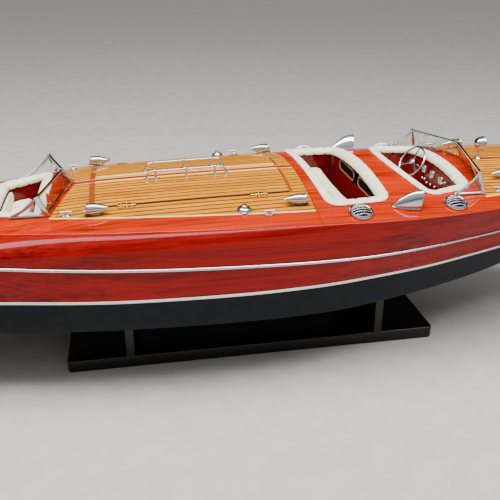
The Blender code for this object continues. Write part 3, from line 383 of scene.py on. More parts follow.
def flatSection(halfLong, halfWide, corner, steps=3, across=1, along=1):
    # a rectangle with round corners; its straight sides are cut into a number of steps
    def onCorner(signs, degrees):
        angle = math.radians(degrees)
        return (signs[0] * (halfLong - corner) + corner * math.cos(angle),
                signs[1] * (halfWide - corner) + corner * math.sin(angle))

    quarters = (((1, 1), 0, along), ((-1, 1), 90, across), ((-1, -1), 180, along), ((1, -1), 270, across))
    section = []
    for index, (signs, turn, cuts) in enumerate(quarters):
        section += [onCorner(signs, turn + 90 * k / steps) for k in range(steps + 1)]
        nextSigns, nextTurn, _ = quarters[(index + 1) % 4]
        (x, y), (endX, endY) = section[-1], onCorner(nextSigns, nextTurn)
        section += [(x + (endX - x) * k / cuts, y + (endY - y) * k / cuts) for k in range(1, cuts)]
    return section


def spun(profile, segments):
    # a profile turned about Z; a radius of zero closes it at that end
    return ringSkin([[(x, y, height) for x, y in roundSection(max(radius, 0.00001), segments)]
                     for radius, height in profile])


def spunRing(profile, segments):
    # a closed profile turned about Z into a ring
    return ringSkin([[(radius * x, radius * y, height) for radius, height in profile]
                     for x, y in roundSection(1.0, segments)], wrap=True)


def prism(outline, low, high):
    # a flat outline in x and y given a thickness
    return ringSkin([[Vector((x, y, z)) for x, y in outline] for z in (low, high)])


def sweep(points, section, side, wrap=False):
    # a section of (along side, across it) offsets carried along a path
    points = [Vector(p) for p in points]
    last = len(points) - 1
    rings = []
    for i, point in enumerate(points):
        before = points[i - 1] if wrap or i else point
        after = points[(i + 1) % len(points)] if wrap or i < last else point
        run = (after - before).normalized()
        wide = (side - side.dot(run) * run).normalized()
        deep = run.cross(wide)
        rings.append([point + wide * a + deep * b for a, b in section])
    return ringSkin(rings, wrap)


def moved(shape, matrix):
    points, faces = shape
    return [matrix @ Vector(p) for p in points], faces


def merged(shapes):
    points, faces = [], []
    for somePoints, someFaces in shapes:
        start = len(points)
        points += [Vector(p) for p in somePoints]
        faces += [tuple(i + start for i in face) for face in someFaces]
    return points, faces


def facing(place, direction):
    # where a part turned about Z goes, to point along a direction
    return Matrix.Translation(place) @ direction.to_track_quat("Z", "Y").to_matrix().to_4x4()


def ball(centre, radius, segments=16):
    steps = segments // 2
    profile = [(radius * math.sin(math.pi * k / steps), -radius * math.cos(math.pi * k / steps))
               for k in range(steps + 1)]
    return moved(spun(profile, segments), Matrix.Translation(centre))


def meshOf(name, parts, smoothAngle=35, openShell=False):
    bm = bmesh.new()
    materials = []
    for (points, faces), material in parts:
        if material not in materials:
            materials.append(material)
        verts = [bm.verts.new(p) for p in points]
        for face in faces:
            made = bm.faces.new([verts[i] for i in face])
            made.material_index = materials.index(material)
    bmesh.ops.recalc_face_normals(bm, faces=bm.faces)
    if openShell:
        middle = sum((f.calc_center_median() for f in bm.faces), Vector()) / len(bm.faces)
        if sum((f.calc_center_median() - middle).dot(f.normal) for f in bm.faces) < 0:
            bmesh.ops.reverse_faces(bm, faces=bm.faces)
    mesh = bpy.data.meshes.new(name)
    bm.to_mesh(mesh)
    bm.free()
    for material in materials:
        mesh.materials.append(material)
    mesh.shade_smooth()
    mesh.set_sharp_from_angle(angle=math.radians(smoothAngle))
    return mesh


def newPiece(name, parts, stands=None, body="boat", smoothAngle=35, openShell=False, subdivide=0):
    # parts are (shape, material) pairs; the first one's material gives the slot
    piece = bpy.data.objects.new(name, meshOf(name, parts, smoothAngle, openShell))
    bpy.context.collection.objects.link(piece)
    if subdivide:
        finer = piece.modifiers.new("finer", "SUBSURF")
        finer.levels = subdivide
        finer.render_levels = subdivide
    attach(piece, body)
    if stands:
        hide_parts(stands)
    return piece


def cutOut(shape, tools):
    # the first shape with the others taken away from it
    work = bpy.data.objects.new("work", meshOf("work", [(shape, None)]))
    bpy.context.collection.objects.link(work)
    helpers = []
    for tool in tools:
        helper = bpy.data.objects.new("tool", meshOf("tool", [(tool, None)]))
        bpy.context.collection.objects.link(helper)
        cut = work.modifiers.new("cut", "BOOLEAN")
        cut.operation = "DIFFERENCE"
        cut.solver = "EXACT"
        cut.object = helper
        helpers.append(helper)
    bpy.context.view_layer.update()
    result = work.evaluated_get(bpy.context.evaluated_depsgraph_get()).data
    points = [v.co.copy() for v in result.vertices]
    faces = [tuple(p.vertices) for p in result.polygons]
    for helper in helpers + [work]:
        bpy.data.objects.remove(helper, do_unlink=True)
    return points, faces


# Lines of the hull, in millimetres: place along the boat, then half-breadth or height

hullLines = {
    "deck": ((-450, 155.5), (-380, 163.2), (-285, 173.8), (-240, 179.6), (-200, 183), (-117, 185.8),
             (-35, 187.3), (20, 187.8), (70, 187.5), (134, 186), (190, 184.5), (270, 183.5), (340, 182.6),
             (400, 181.6), (450, 180.5)),
    "keelHeight": ((-450, 54), (-380, 50), (-285, 46), (-200, 44), (-130, 43), (25, 43), (100, 44),
                   (190, 49), (270, 59), (340, 71), (400, 85), (424, 93)),
    "chine": ((-450, 52), (-380, 72), (-285, 89), (-200, 101), (-130, 106), (-60, 108), (0, 105.5),
              (35, 101), (117, 81), (190, 60), (220, 50), (270, 35), (340, 17), (400, 5), (430, 0)),
    "chineHeight": ((-450, 73), (-285, 71), (-60, 71.5), (35, 72), (117, 73.5), (190, 78), (220, 81),
                    (270, 86), (340, 92.5), (400, 98.5), (430, 101)),
    "water": ((-450, 60), (-380, 80), (-285, 97), (-200, 112), (-130, 117.5), (-60, 118.5), (0, 114.5),
              (30, 110), (100, 95.5), (134, 86), (190, 67), (210, 60), (270, 41), (340, 20.5), (400, 6.5),
              (436, 0)),
    "strip": ((-450, 62), (-380, 82), (-285, 101), (-238, 108.4), (-169, 116.1), (-100, 118.9),
              (-21, 118.9), (25, 116.7), (58, 112.9), (92, 107), (124, 101.1), (161, 93.7), (189, 88),
              (270, 66), (340, 43), (400, 20), (445, 0)),
    "stripHeight": ((-450, 142.4), (-380, 142.2), (-282, 141.2), (-238, 139.3), (-169, 136.9),
                    (-100, 134.7), (-21, 132.8), (58, 131.7), (92, 131.9), (124, 133), (161, 134.9),
                    (189, 136.5), (270, 141.5), (340, 146.5), (400, 151), (445, 154.5)),
    "shoulder": ((-450, 61), (-380, 81.5), (-285, 101), (-200, 114), (-130, 118.7), (-60, 120.5),
                 (0, 120.2), (50, 119), (92, 116), (134, 111.3), (190, 103), (270, 84.3), (340, 60.8),
                 (400, 32.6), (449, 0)),
    "shoulderHeight": ((-450, 148.5), (-380, 148.5), (-285, 148.5), (-200, 151), (-60, 154), (70, 158),
                       (134, 160.5), (190, 163), (270, 166), (340, 169), (400, 172), (449, 175)),
    "sheer": ((-450, 44), (-380, 60.5), (-285, 80.5), (-240, 93.8), (-200, 102.6), (-150, 108.2),
              (-110, 111.8), (-60, 115.8), (0, 118.3), (50, 119.8), (90, 118.4), (134, 114.3),
              (190, 106), (270, 88), (340, 64.5), (400, 36), (440, 11), (450, 0)),
    "covering": ((-450, 26), (-280, 24), (-200, 21.6), (-110, 20), (450, 19.5)),
}
stemX = {"keel": 0.424, "chine": 0.430, "water": 0.436, "strip": 0.445, "shoulder": 0.449, "sheer": 0.450}
hull = {"halfLength": 0.450, "waterline": 0.106, "crownRadius": 0.363, "stemHalf": 0.6 * mm,
        "transomLean": 0.10, "stations": 120, "sideSteps": 6, "roundSteps": 10, "chineSoft": 1.2 * mm,
        "lipIn": 5 * mm, "lipDown": 1.5 * mm}


def fair(knots, at):
    last = len(knots) - 1
    if at <= knots[0][0]:
        return knots[0][1]
    if at >= knots[last][0]:
        return knots[last][1]
    here = max(i for i in range(last) if knots[i][0] <= at)

    def slope(i):
        low, high = knots[max(i - 1, 0)], knots[min(i + 1, last)]
        return (high[1] - low[1]) / (high[0] - low[0])

    start, end = knots[here], knots[here + 1]
    span = end[0] - start[0]
    t = (at - start[0]) / span
    rise = end[1] - start[1]
    bendIn = slope(here) * span - rise
    bendOut = -slope(here + 1) * span + rise
    return start[1] + t * rise + t * (1 - t) * ((1 - t) * bendIn + t * bendOut)


def line(name, x):
    return fair(hullLines[name], x / mm) * mm


def deckZ(x, y):
    return line("deck", x) - y * y / (2 * hull["crownRadius"])


def sheerHalf(x):
    return max(line("sheer", x), hull["stemHalf"])


def panelHalf(x):
    return max(sheerHalf(x) - line("covering", x), 0.0)


def sternX(z):
    return -hull["halfLength"] + hull["transomLean"] * (deckZ(-hull["halfLength"], 0) - z)


def hullPoint(name, u):
    heights = {"keel": lambda x: line("keelHeight", x), "chine": lambda x: line("chineHeight", x),
               "water": lambda x: hull["waterline"], "strip": lambda x: line("stripHeight", x),
               "shoulder": lambda x: line("shoulderHeight", x), "sheer": lambda x: deckZ(x, sheerHalf(x))}
    height = heights[name]
    start = sternX(height(-hull["halfLength"]))
    x = start + (stemX[name] - start) * u
    half = 0.0 if name == "keel" else max(line(name, x), hull["stemHalf"])
    return Vector((x, half, height(x)))


def hullPoints(u, *names):
    return [hullPoint(name, u) for name in names]


def outward(name, u):
    # level direction away from the boat, square to one of its lines
    ahead, behind = hullPoint(name, min(u + 0.004, 1)), hullPoint(name, max(u - 0.004, 0))
    run = (ahead - behind).normalized()
    out = Vector((-run.y, run.x, 0)).normalized()
    return out if out.y > 0 else -out


def mirrored(points):
    return [Vector((p.x, -p.y, p.z)) for p in points]


def sideCurve(u):
    water, strip, shoulder, sheer = hullPoints(u, "water", "strip", "shoulder", "sheer")
    corner = Vector((sheer.x, max(shoulder.y, sheer.y), 0))
    corner.z = sheer.z - sheer.y / hull["crownRadius"] * (corner.y - sheer.y)
    low, high = strip - water, shoulder - strip
    across = (shoulder - water) / (low.length + high.length)
    leave = (corner - shoulder).normalized()
    points = []
    for start, end, out, into in ((water, strip, low, across * low.length),
                                  (strip, shoulder, across * high.length, leave * high.length)):
        for k in range(hull["sideSteps"]):
            t = k / hull["sideSteps"]
            points.append(start * (2 * t ** 3 - 3 * t * t + 1) + out * (t ** 3 - 2 * t * t + t)
                          + end * (3 * t * t - 2 * t ** 3) + into * (t ** 3 - t * t))
    for k in range(hull["roundSteps"] + 1):
        t = k / hull["roundSteps"]
        points.append((1 - t) ** 2 * shoulder + 2 * t * (1 - t) * corner + t * t * sheer)
    return points


def transomGrid(edge, steps=24):
    # rows across the stern between the two ends of a section, crowned like the deck at the top
    top, low = edge[-1], edge[0]
    rows = []
    for point in edge:
        share = (point.z - low.z) / max(top.z - low.z, mm)
        row = []
        for k in range(steps + 1):
            y = point.y * (1 - 2 * k / steps)
            crown = (point.y ** 2 - y * y) / (2 * hull["crownRadius"]) * share
            row.append(Vector((point.x, y, point.z + crown)))
        rows.append(row)
    return ringSkin(rows, loop=False, capped=False)


def sideRow(u):
    # the side, and a lip that runs in under the deck
    curve = sideCurve(u)
    sheer = curve[-1]
    inside = max(sheer.y - hull["lipIn"], 0.2 * mm)
    edge = max(sheer.y - 0.15 * mm, 0.3 * mm)
    curve.append(Vector((sheer.x, edge, sheer.z - 0.1 * mm)))
    curve.append(Vector((sheer.x, edge, sheer.z - hull["lipDown"])))
    curve.append(Vector((sheer.x, inside, deckZ(sheer.x, inside) - 1.6 * mm)))
    return curve


def bothSides(portRows, stemEnd=None):
    # a skin down either side, joined across the stem
    starRows = [mirrored(row) for row in portRows]
    return [ringSkin(portRows, loop=False), ringSkin(starRows, loop=False),
            ringSkin([portRows[-1][:stemEnd], starRows[-1][:stemEnd]], loop=False)]


print("hull")
steps = [i / hull["stations"] for i in range(hull["stations"] + 1)]
shares = [0.65 * step + 0.35 * math.sin(0.5 * math.pi * step) for step in steps]
sideShapes = bothSides([sideRow(u) for u in shares]) + [transomGrid(sideCurve(0.0))]
newPiece("hullSides", [(merged(sideShapes), varnishedMahogany)], stands="topsides", openShell=True)


def bottomCurve(u):
    water, chine, keel = hullPoints(u, "water", "chine", "keel")
    water.z -= 0.3 * mm
    up, down = (water - chine), (keel - chine)
    start = chine + up.normalized() * min(hull["chineSoft"], up.length / 3)
    end = chine + down.normalized() * min(hull["chineSoft"], down.length / 3)
    bend = [start * (1 - t) ** 2 + chine * 2 * t * (1 - t) + end * t * t for t in (0, 0.25, 0.5, 0.75, 1)]
    side = [water.lerp(start, k / 4) for k in range(4)]
    under = [end.lerp(keel, k / 6) for k in range(1, 7)]
    return side + bend + under


sternRows = [[Vector((p.x, p.y * (1 - 2 * k / 12), p.z)) for k in range(13)] for p in bottomCurve(0.0)[:-1]]
bottomShapes = bothSides([bottomCurve(u) for u in shares], -1) + [ringSkin(sternRows, loop=False)]
newPiece("hullBottom", [(merged(bottomShapes), bottomEnamel)], stands="hull_bottom", openShell=True)


def bandAlong(lowRise, highRise, proud, section):
    # a band that hugs the side between two rises, carried right round the boat
    def ring(u, hand):
        water, strip, chine = hullPoints(u, "water", "strip", "chine")
        out = outward("water", u)
        up = (strip - water) / (strip.z - water.z)
        down = (chine - water) / (water.z - chine.z)
        points = []
        for share, lift in section:
            rise = lowRise + (highRise - lowRise) * share
            base = water + (up * rise if rise > 0 else down * -rise)
            point = base + out * proud * lift
            points.append(Vector((point.x, point.y * hand, point.z)))
        return points

    port = [ring(u, 1) for u in shares]
    starboard = [ring(u, -1) for u in reversed(shares)]
    front = [Vector((p.x + 0.5 * mm, 0, p.z)) for p in port[-1]]
    back = [Vector((p.x - 0.25 * mm, p.y, p.z)) for p in port[0]]
    return ringSkin(port + [front] + starboard + [mirrored(back), back], wrap=True)


bootLine = {"low": -1.3 * mm, "high": 1.6 * mm, "proud": 0.25 * mm}
bootShape = bandAlong(bootLine["low"], bootLine["high"], bootLine["proud"],
                      ((0, -0.6), (0, 0.6), (0.1, 1), (0.45, 1), (0.9, 1), (1, 0.6), (1, -0.6)))
newPiece("bootLine", [(bootShape, bootEnamel)])

print("rub moulding")
moulding = {"halfTall": 1.6 * mm, "thick": 1.1 * mm, "crest": 0.55 * mm, "edge": 0.25 * mm,
            "buried": 0.3 * mm, "screwRadius": 0.95 * mm, "screwStep": 34.3 * mm, "screwsTo": 0.400,
            "screws": (-268.5, -237.8, -203.6, -168.7, -133.3, -99.6, -64.5, -30.0, -1.5, 24.4, 58.3, 92.0,
                       123.8, 161.3)}


def mouldingRing(u):
    water, strip, shoulder = hullPoints(u, "water", "strip", "shoulder")
    out = outward("strip", u)
    low = strip + (water - strip) * (moulding["halfTall"] / (strip.z - water.z))
    high = strip + (shoulder - strip) * (moulding["halfTall"] / (shoulder.z - strip.z))
    rise = moulding["thick"] + moulding["crest"] - moulding["edge"]
    points = [low - out * moulding["buried"]]
    for k in range(9):
        swell = math.sin(math.pi * k / 8) ** 0.6
        points.append(low.lerp(high, k / 8) + out * (moulding["edge"] + rise * swell))
    points.append(high - out * moulding["buried"])
    return points, strip, out


def stripPlace(x):
    low, high = 0.0, 1.0
    for _ in range(40):
        middle = (low + high) / 2
        if hullPoint("strip", middle).x < x:
            low = middle
        else:
            high = middle
    _, strip, out = mouldingRing(low)
    return strip + out * (moulding["thick"] + moulding["crest"]), out


portRings = [mouldingRing(u)[0] for u in shares]
front = [Vector((p.x + (p.y - hull["stemHalf"]) * 0.6 + 0.4 * mm, 0, p.z)) for p in portRings[-1]]
starRings = [mirrored(ring) for ring in reversed(portRings)]
mouldingShape = ringSkin(portRings + [front] + starRings)
screwPlaces = [x * mm for x in moulding["screws"]]
while screwPlaces[-1] < moulding["screwsTo"]:
    screwPlaces.append(screwPlaces[-1] + moulding["screwStep"])
while screwPlaces[0] > -moulding["screwsTo"]:
    screwPlaces.insert(0, screwPlaces[0] - moulding["screwStep"])
headProfile = [(0.0, -0.3 * mm), (1.0, -0.3 * mm), (1.0, 0.05 * mm), (0.85, 0.28 * mm), (0.55, 0.45 * mm),
               (0.25, 0.52 * mm), (0.0, 0.54 * mm)]
screwShapes = []
for x in screwPlaces:
    spot, out = stripPlace(x)
    for hand in (1, -1):
        head = spun([(r * moulding["screwRadius"], h) for r, h in headProfile], 14)
        place = Vector((spot.x, spot.y * hand, spot.z))
        screwShapes.append(moved(head, facing(place, Vector((out.x, out.y * hand, 0)))))
newPiece("rubMoulding", [(mouldingShape, polishedChrome), (merged(screwShapes), polishedChrome)], "rub_strip")

print("deck")
deck = {"thick": 1.2 * mm, "gap": 0.3 * mm, "chamfer": 0.22 * mm, "aftEnd": -0.4495, "foreEnd": 0.4485,
        "transomPlank": -0.430, "rearBand": -0.2330, "cockpitBand": -0.0020, "foreBand": 0.1745,
        "forePlank": 0.392, "scarf": -0.0007}


def deckSlab(low, high, inner, outer, rows, columns, lift=0.0, deep=deck["thick"], chamfer=deck["chamfer"]):
    # a slab of planking on the camber between two edges, given as functions of x
    xs = [low, low + chamfer, *(low + (high - low) * k / rows for k in range(1, rows)), high - chamfer, high]
    layers = []
    for layer in (0, 1):
        grid = []
        for i, x in enumerate(xs):
            a, b = inner(x), outer(x)
            edge = min(chamfer, abs(b - a) / 4) * (1 if b > a else -1)
            ys = [a, a + edge] + [a + (b - a) * k / columns for k in range(1, columns)] + [b - edge, b]
            row = []
            for j, y in enumerate(ys):
                atEdge = i in (0, len(xs) - 1) or j in (0, len(ys) - 1)
                drop = deep if layer else (chamfer * 0.7 if atEdge else 0.0)
                row.append(Vector((x, y, deckZ(x, y) + lift - drop)))
            grid.append(row)
        layers.append(grid)
    upper, lower = layers
    m, n = len(upper), len(upper[0])
    points = [p for row in upper + lower for p in row]
    faces = []
    for i in range(m - 1):
        for j in range(n - 1):
            a, b = i * n + j, m * n + i * n + j
            faces.append((a, a + n, a + n + 1, a + 1))
            faces.append((b, b + 1, b + n + 1, b + n))
    for i in range(m - 1):
        for j in (0, n - 1):
            a, b = i * n + j, m * n + i * n + j
            faces.append((a, b, b + n, a + n))
    for j in range(n - 1):
        for i in (0, m - 1):
            a, b = i * n + j, m * n + i * n + j
            faces.append((a, a + 1, b + 1, b))
    return points, faces


def boardEdge(x):
    return sheerHalf(x) - 0.2 * mm


boardShapes = []
for hand in (1, -1):
    for low, high, rows in ((deck["transomPlank"], deck["scarf"] - 0.1 * mm, 80),
                            (deck["scarf"] + 0.1 * mm, deck["forePlank"], 70)):
        boardShapes.append(deckSlab(low, high, lambda x: hand * panelHalf(x), lambda x: hand * boardEdge(x),
                                    rows, 6))
for low, high, rows, columns, chamfer in (
        (deck["aftEnd"], deck["transomPlank"] - 0.05 * mm, 6, 24, deck["chamfer"]),
        (deck["forePlank"] + 0.05 * mm, deck["foreEnd"], 24, 12, 0.1 * mm)):
    boardShapes.append(deckSlab(low, high, lambda x: -boardEdge(x), boardEdge, rows, columns,
                                chamfer=chamfer))
newPiece("coveringBoards", [(merged(boardShapes), varnishedDeckWood)], "covering_boards")

cockpits = {
    "rear": {"aft": -0.2985, "fore": -0.2445, "halfAft": 0.0475, "halfFore": 0.0665, "sweepAft": 0.0,
             "sweepFore": 0.0, "floor": 0.1300, "undercut": 0.0, "seatTop": 0.156, "seatDeep": 0.028,
             "splay": 0.35, "seatSpare": 1.2 * mm},
    "middle": {"aft": 0.0062, "fore": 0.0728, "halfAft": 0.0945, "halfFore": 0.0905, "sweepAft": 0.004,
               "sweepFore": 0.0, "floor": 0.1280, "undercut": 0.005, "seatTop": 0.161, "seatDeep": 0.035,
               "splay": 0.0, "seatSpare": 3 * mm},
    "front": {"aft": 0.0955, "fore": 0.1640, "halfAft": 0.0860, "halfFore": 0.0740, "sweepAft": 0.0165,
              "sweepFore": -0.002, "floor": 0.1280, "undercut": 0.005, "seatTop": 0.150, "seatDeep": 0.022,
              "splay": -0.10, "seatSpare": 4 * mm},
}
pitEdge = {"corner": 13 * mm, "overhang": 7.5 * mm, "wall": 1.0 * mm, "drop": 6.2 * mm, "cove": 1.5 * mm,
           "cut": (0.12, 0.21)}     # cut: heights that the tool through the deck runs between


def cockpitLoop(name, inset, undercut=0.0):
    # the pit's outline in plan, narrower at one end and with its ends swept
    pit = cockpits[name]
    fore = pit["fore"] + undercut
    length = (fore - pit["aft"]) / 2 - inset
    middle = (fore + pit["aft"]) / 2
    halfMean = (pit["halfAft"] + pit["halfFore"]) / 2
    half = halfMean - inset
    flat = flatSection(length, half, max(pitEdge["corner"] - inset, 2 * mm), 9, 44, 14)
    loop = []
    for x, y in flat:
        ahead = x / length
        width = halfMean + (pit["halfFore"] - pit["halfAft"]) / 2 * ahead
        placed = y / half * (width - inset)
        spread = (placed / width) ** 2
        shift = pit["sweepAft"] * (1 - ahead) / 2 + pit["sweepFore"] * (1 + ahead) / 2
        loop.append((middle + x + shift * spread, placed))
    return loop


def pitLoop(name, extra=0.0):
    return cockpitLoop(name, pitEdge["overhang"] + extra, cockpits[name]["undercut"])


gap = deck["gap"]
panels = {
    "aftDeck": (deck["transomPlank"] + gap, deck["rearBand"], 70, aftPlanking, "deck_aft", ("rear",)),
    "engineDeck": (deck["rearBand"] + gap, deck["cockpitBand"], 80, enginePlanking, "deck_engine", ()),
    "cockpitDeck": (deck["cockpitBand"] + gap, deck["foreBand"], 60, cockpitPlanking, "deck_cockpits",
                    ("middle", "front")),
    "foreDeck": (deck["foreBand"] + gap, deck["forePlank"] - gap, 70, forePlanking, "deck_fore", ()),
}
hatch = {"aft": -0.2000, "fore": -0.0192, "inner": 5.7 * mm, "outer": 64.0 * mm, "raise": 1.2 * mm,
         "deep": 2.2 * mm, "ledge": 4.0 * mm, "cut": (0.15, 0.21)}


def panelEdge(x):
    return panelHalf(x) - 0.2 * mm


for name, (low, high, rows, material, node, pits) in panels.items():
    shape = deckSlab(low, high, lambda x: -panelEdge(x), panelEdge, rows, 28, chamfer=0.1 * mm)
    tools = [prism(pitLoop(pit), *pitEdge["cut"]) for pit in pits]
    if name == "engineDeck":
        for hand in (1, -1):
            near, far = hand * hatch["inner"], hand * (hatch["outer"] + gap)
            tools.append(prism([(hatch["aft"] - gap, near), (hatch["fore"] + gap, near),
                                (hatch["fore"] + gap, far), (hatch["aft"] - gap, far)], *hatch["cut"]))
    if tools:
        shape = cutOut(shape, tools)
    newPiece(name, [(shape, material)], node)

edging = {"wide": 2.3 * mm, "proud": 0.06 * mm, "deep": 0.5 * mm}
edgeRuns = ((deck["transomPlank"] + 1 * mm, rearTeakEnd, None), (-0.2600, -0.0026, teakStarts["engine"]),
            (0.1500, 0.391, teakStarts["fore"]))
edgeShapes = []
for start, high, slanted in edgeRuns:
    while slanted and start < slanted[1] - slanted[0] * panelHalf(start):
        start += 0.5 * mm
    for hand in (1, -1):
        edgeShapes.append(deckSlab(start, high, lambda x: hand * max(panelHalf(x) - edging["wide"], 0.0),
                                   lambda x: hand * max(panelHalf(x) - 0.25 * mm, 0.05 * mm), 60, 2,
                                   edging["proud"], edging["deep"], 0.05 * mm))
newPiece("deckEdging", [(merged(edgeShapes), boxwoodEdging)])

for name, hand in sides:
    shape = deckSlab(hatch["aft"], hatch["fore"], lambda x: hand * (hatch["inner"] + gap),
                     lambda x: hand * hatch["outer"], 60, 20, hatch["raise"], hatch["deep"])
    newPiece("hatchLeaf_" + name, [(shape, leafPlanking)], body="hatch_" + name, stands="hatch_" + name)

bay = {"aft": hatch["aft"] + hatch["ledge"], "fore": hatch["fore"] - hatch["ledge"],
       "half": hatch["outer"] - hatch["ledge"], "floor": 0.128, "wall": 1 * mm, "flange": 7 * mm,
       "under": 1.5 * mm, "flangeThick": 1.5 * mm}


def bayRing(grow, drop=None, z=0.0):
    # round the bay, at a drop below the camber or else at a height
    aft, fore, half = bay["aft"] - grow, bay["fore"] + grow, bay["half"] + grow
    corners = ((aft, -half), (fore, -half), (fore, half), (aft, half))
    ring = []
    for (ax, ay), (bx, by) in zip(corners, corners[1:] + corners[:1]):
        for k in range(16):
            x, y = ax + (bx - ax) * k / 16, ay + (by - ay) * k / 16
            ring.append(Vector((x, y, z if drop is None else deckZ(x, y) - drop)))
    return ring


flangeLow = bay["under"] + bay["flangeThick"]
bayShape = ringSkin([bayRing(bay["wall"], z=bay["floor"] - bay["wall"]), bayRing(bay["wall"], flangeLow),
                     bayRing(bay["flange"], flangeLow), bayRing(bay["flange"], bay["under"]),
                     bayRing(0.0, bay["under"]), bayRing(0.0, z=bay["floor"])])
newPiece("engineBay", [(bayShape, maroonLacquer)])

print("cockpits")
for name, pit in cockpits.items():
    outer, inner = pitLoop(name, gap), pitLoop(name, gap + pitEdge["wall"])
    rings = [[Vector((x, y, pit["floor"] - pitEdge["wall"])) for x, y in outer]]
    rings += [[Vector((x, y, deckZ(x, y) - pitEdge["drop"])) for x, y in loop] for loop in (outer, inner)]
    for k in range(4):
        angle = math.radians(30 * k)
        z = pit["floor"] + pitEdge["cove"] * (1 - math.sin(angle))
        loop = pitLoop(name, gap + pitEdge["wall"] + pitEdge["cove"] * (1 - math.cos(angle)))
        rings.append([Vector((x, y, z)) for x, y in loop])
    newPiece("lining_" + name + "_wood", [(ringSkin(rings), maroonLacquer)], stands="lining_" + name)

# Door pockets in the fore wall of the middle cockpit: a near-black backing, painted shade for the pockets'
# dark insides, behind a tan cord
pocket = {"x": 68.9 * mm, "inner": 7 * mm, "outer": 57 * mm, "low": 0.1640, "high": 0.1750, "cord": 1.0 * mm,
          "boardHalf": 60 * mm, "boardMargin": 2.0 * mm}
pocketShapes, pocketShadeShapes = [], []
boardHigh = (pocket["high"] - pocket["low"]) / 2 + pocket["boardMargin"]
boardMiddle = (pocket["high"] + pocket["low"]) / 2
outline = flatSection(pocket["boardHalf"], boardHigh, boardHigh * 0.9, 7)
boardShape = ringSkin([[Vector((pocket["x"] + dx, a, boardMiddle + b)) for a, b in outline]
                       for dx in (0.55 * mm, 0.1 * mm)])
for hand in (1, -1):
    centre = Vector((pocket["x"], hand * (pocket["inner"] + pocket["outer"]) / 2, boardMiddle))
    longHalf, tallHalf = (pocket["outer"] - pocket["inner"]) / 2, (pocket["high"] - pocket["low"]) / 2
    outline = flatSection(longHalf, tallHalf, tallHalf * 0.92, 7)
    path = [centre + Vector((-0.2 * mm, a, b)) for a, b in outline]
    pocketShapes.append(sweep(path, roundSection(pocket["cord"], 8), forward, wrap=True))
    # a near-black backing sunk in each pocket: painted shade standing for the dark inside of the pocket
    rings = [[centre + Vector((dx * mm, a * grow, b * grow)) for a, b in outline]
             for dx, grow in ((0.05, 1.0), (-0.15, 1.0), (-0.15, 0.9))]
    pocketShadeShapes.append(ringSkin(rings))
newPiece("mapPockets", [(merged(pocketShapes + [boardShape]), tanCord), (merged(pocketShadeShapes), inkAndShadeBlack)])

print("upholstery")
vinylCloth = {"quality": 6, "mass": 0.3, "tension_stiffness": 12.0, "compression_stiffness": 12.0,
              "shear_stiffness": 6.0, "bending_stiffness": 0.4, "vertex_group_mass": "held",
              "use_pressure": True}


def puffed(shape, pinned, pressure, cap, frames=20, grow=20.0):
    # cloth under air pressure, at a larger scale so that the solver's own sizes suit it
    points, faces = shape
    mesh = bpy.data.meshes.new("pad")
    mesh.from_pydata([Vector(p) * grow for p in points], [], faces)
    mesh.update()
    bm = bmesh.new()
    bm.from_mesh(mesh)
    bmesh.ops.recalc_face_normals(bm, faces=bm.faces)
    bm.to_mesh(mesh)
    bm.free()
    pad = bpy.data.objects.new("pad", mesh)
    bpy.context.collection.objects.link(pad)
    held = pad.vertex_groups.new(name="held")
    held.add(pinned, 1.0, "REPLACE")
    cloth = pad.modifiers.new("cloth", "CLOTH")
    for key, value in vinylCloth.items():
        setattr(cloth.settings, key, value)
    cloth.settings.uniform_pressure_force = pressure
    cloth.settings.effector_weights.gravity = 0.0
    cloth.collision_settings.use_collision = False
    cloth.collision_settings.use_self_collision = False
    cloth.point_cache.frame_start = 1
    cloth.point_cache.frame_end = frames
    for number in range(1, frames + 1):
        bpy.context.scene.frame_set(number)
    graph = bpy.context.evaluated_depsgraph_get()
    swollen = [v.co / grow for v in pad.evaluated_get(graph).data.vertices]
    bpy.data.objects.remove(pad, do_unlink=True)
    bpy.context.scene.frame_set(1)
    result, furthest = [], 0.0
    for old, new in zip(points, swollen):
        step = new - Vector(old)
        furthest = max(furthest, step.length)
        if step.length > cap:
            step = step.normalized() * cap
        result.append(Vector(old) + step)
    print("  swelled by up to", round(furthest / mm, 2), "mm")
    return result, faces


def newPad(name, shape, pinned, pressure, cap, fill, stands=None):
    shape = puffed(shape, pinned, pressure, cap)
    pad = newPiece(name, [(shape, creamVinyl)], stands=stands, smoothAngle=180, subdivide=1)


rim = {"section": ((1.4, 0.25), (0.0, 0.30), (-0.5, 0.8), (0.1, 1.9), (1.7, 2.8), (3.6, 3.1), (5.8, 2.4),
                   (8.0, 1.2), (9.8, -0.6), (10.6, -2.8), (10.2, -4.9), (9.0, -5.6), (8.1, -4.4),
                   (7.9, -1.4), (7.8, 0.25), (4.6, 0.20)),
       "underside": (0, 1, 12, 13, 14, 15), "seamStep": 12.5 * mm, "rows": 12, "seamIn": 1.7 * mm,
       "nearSeam": 0.2 * mm, "pressure": 3.0, "cap": 0.25 * mm}


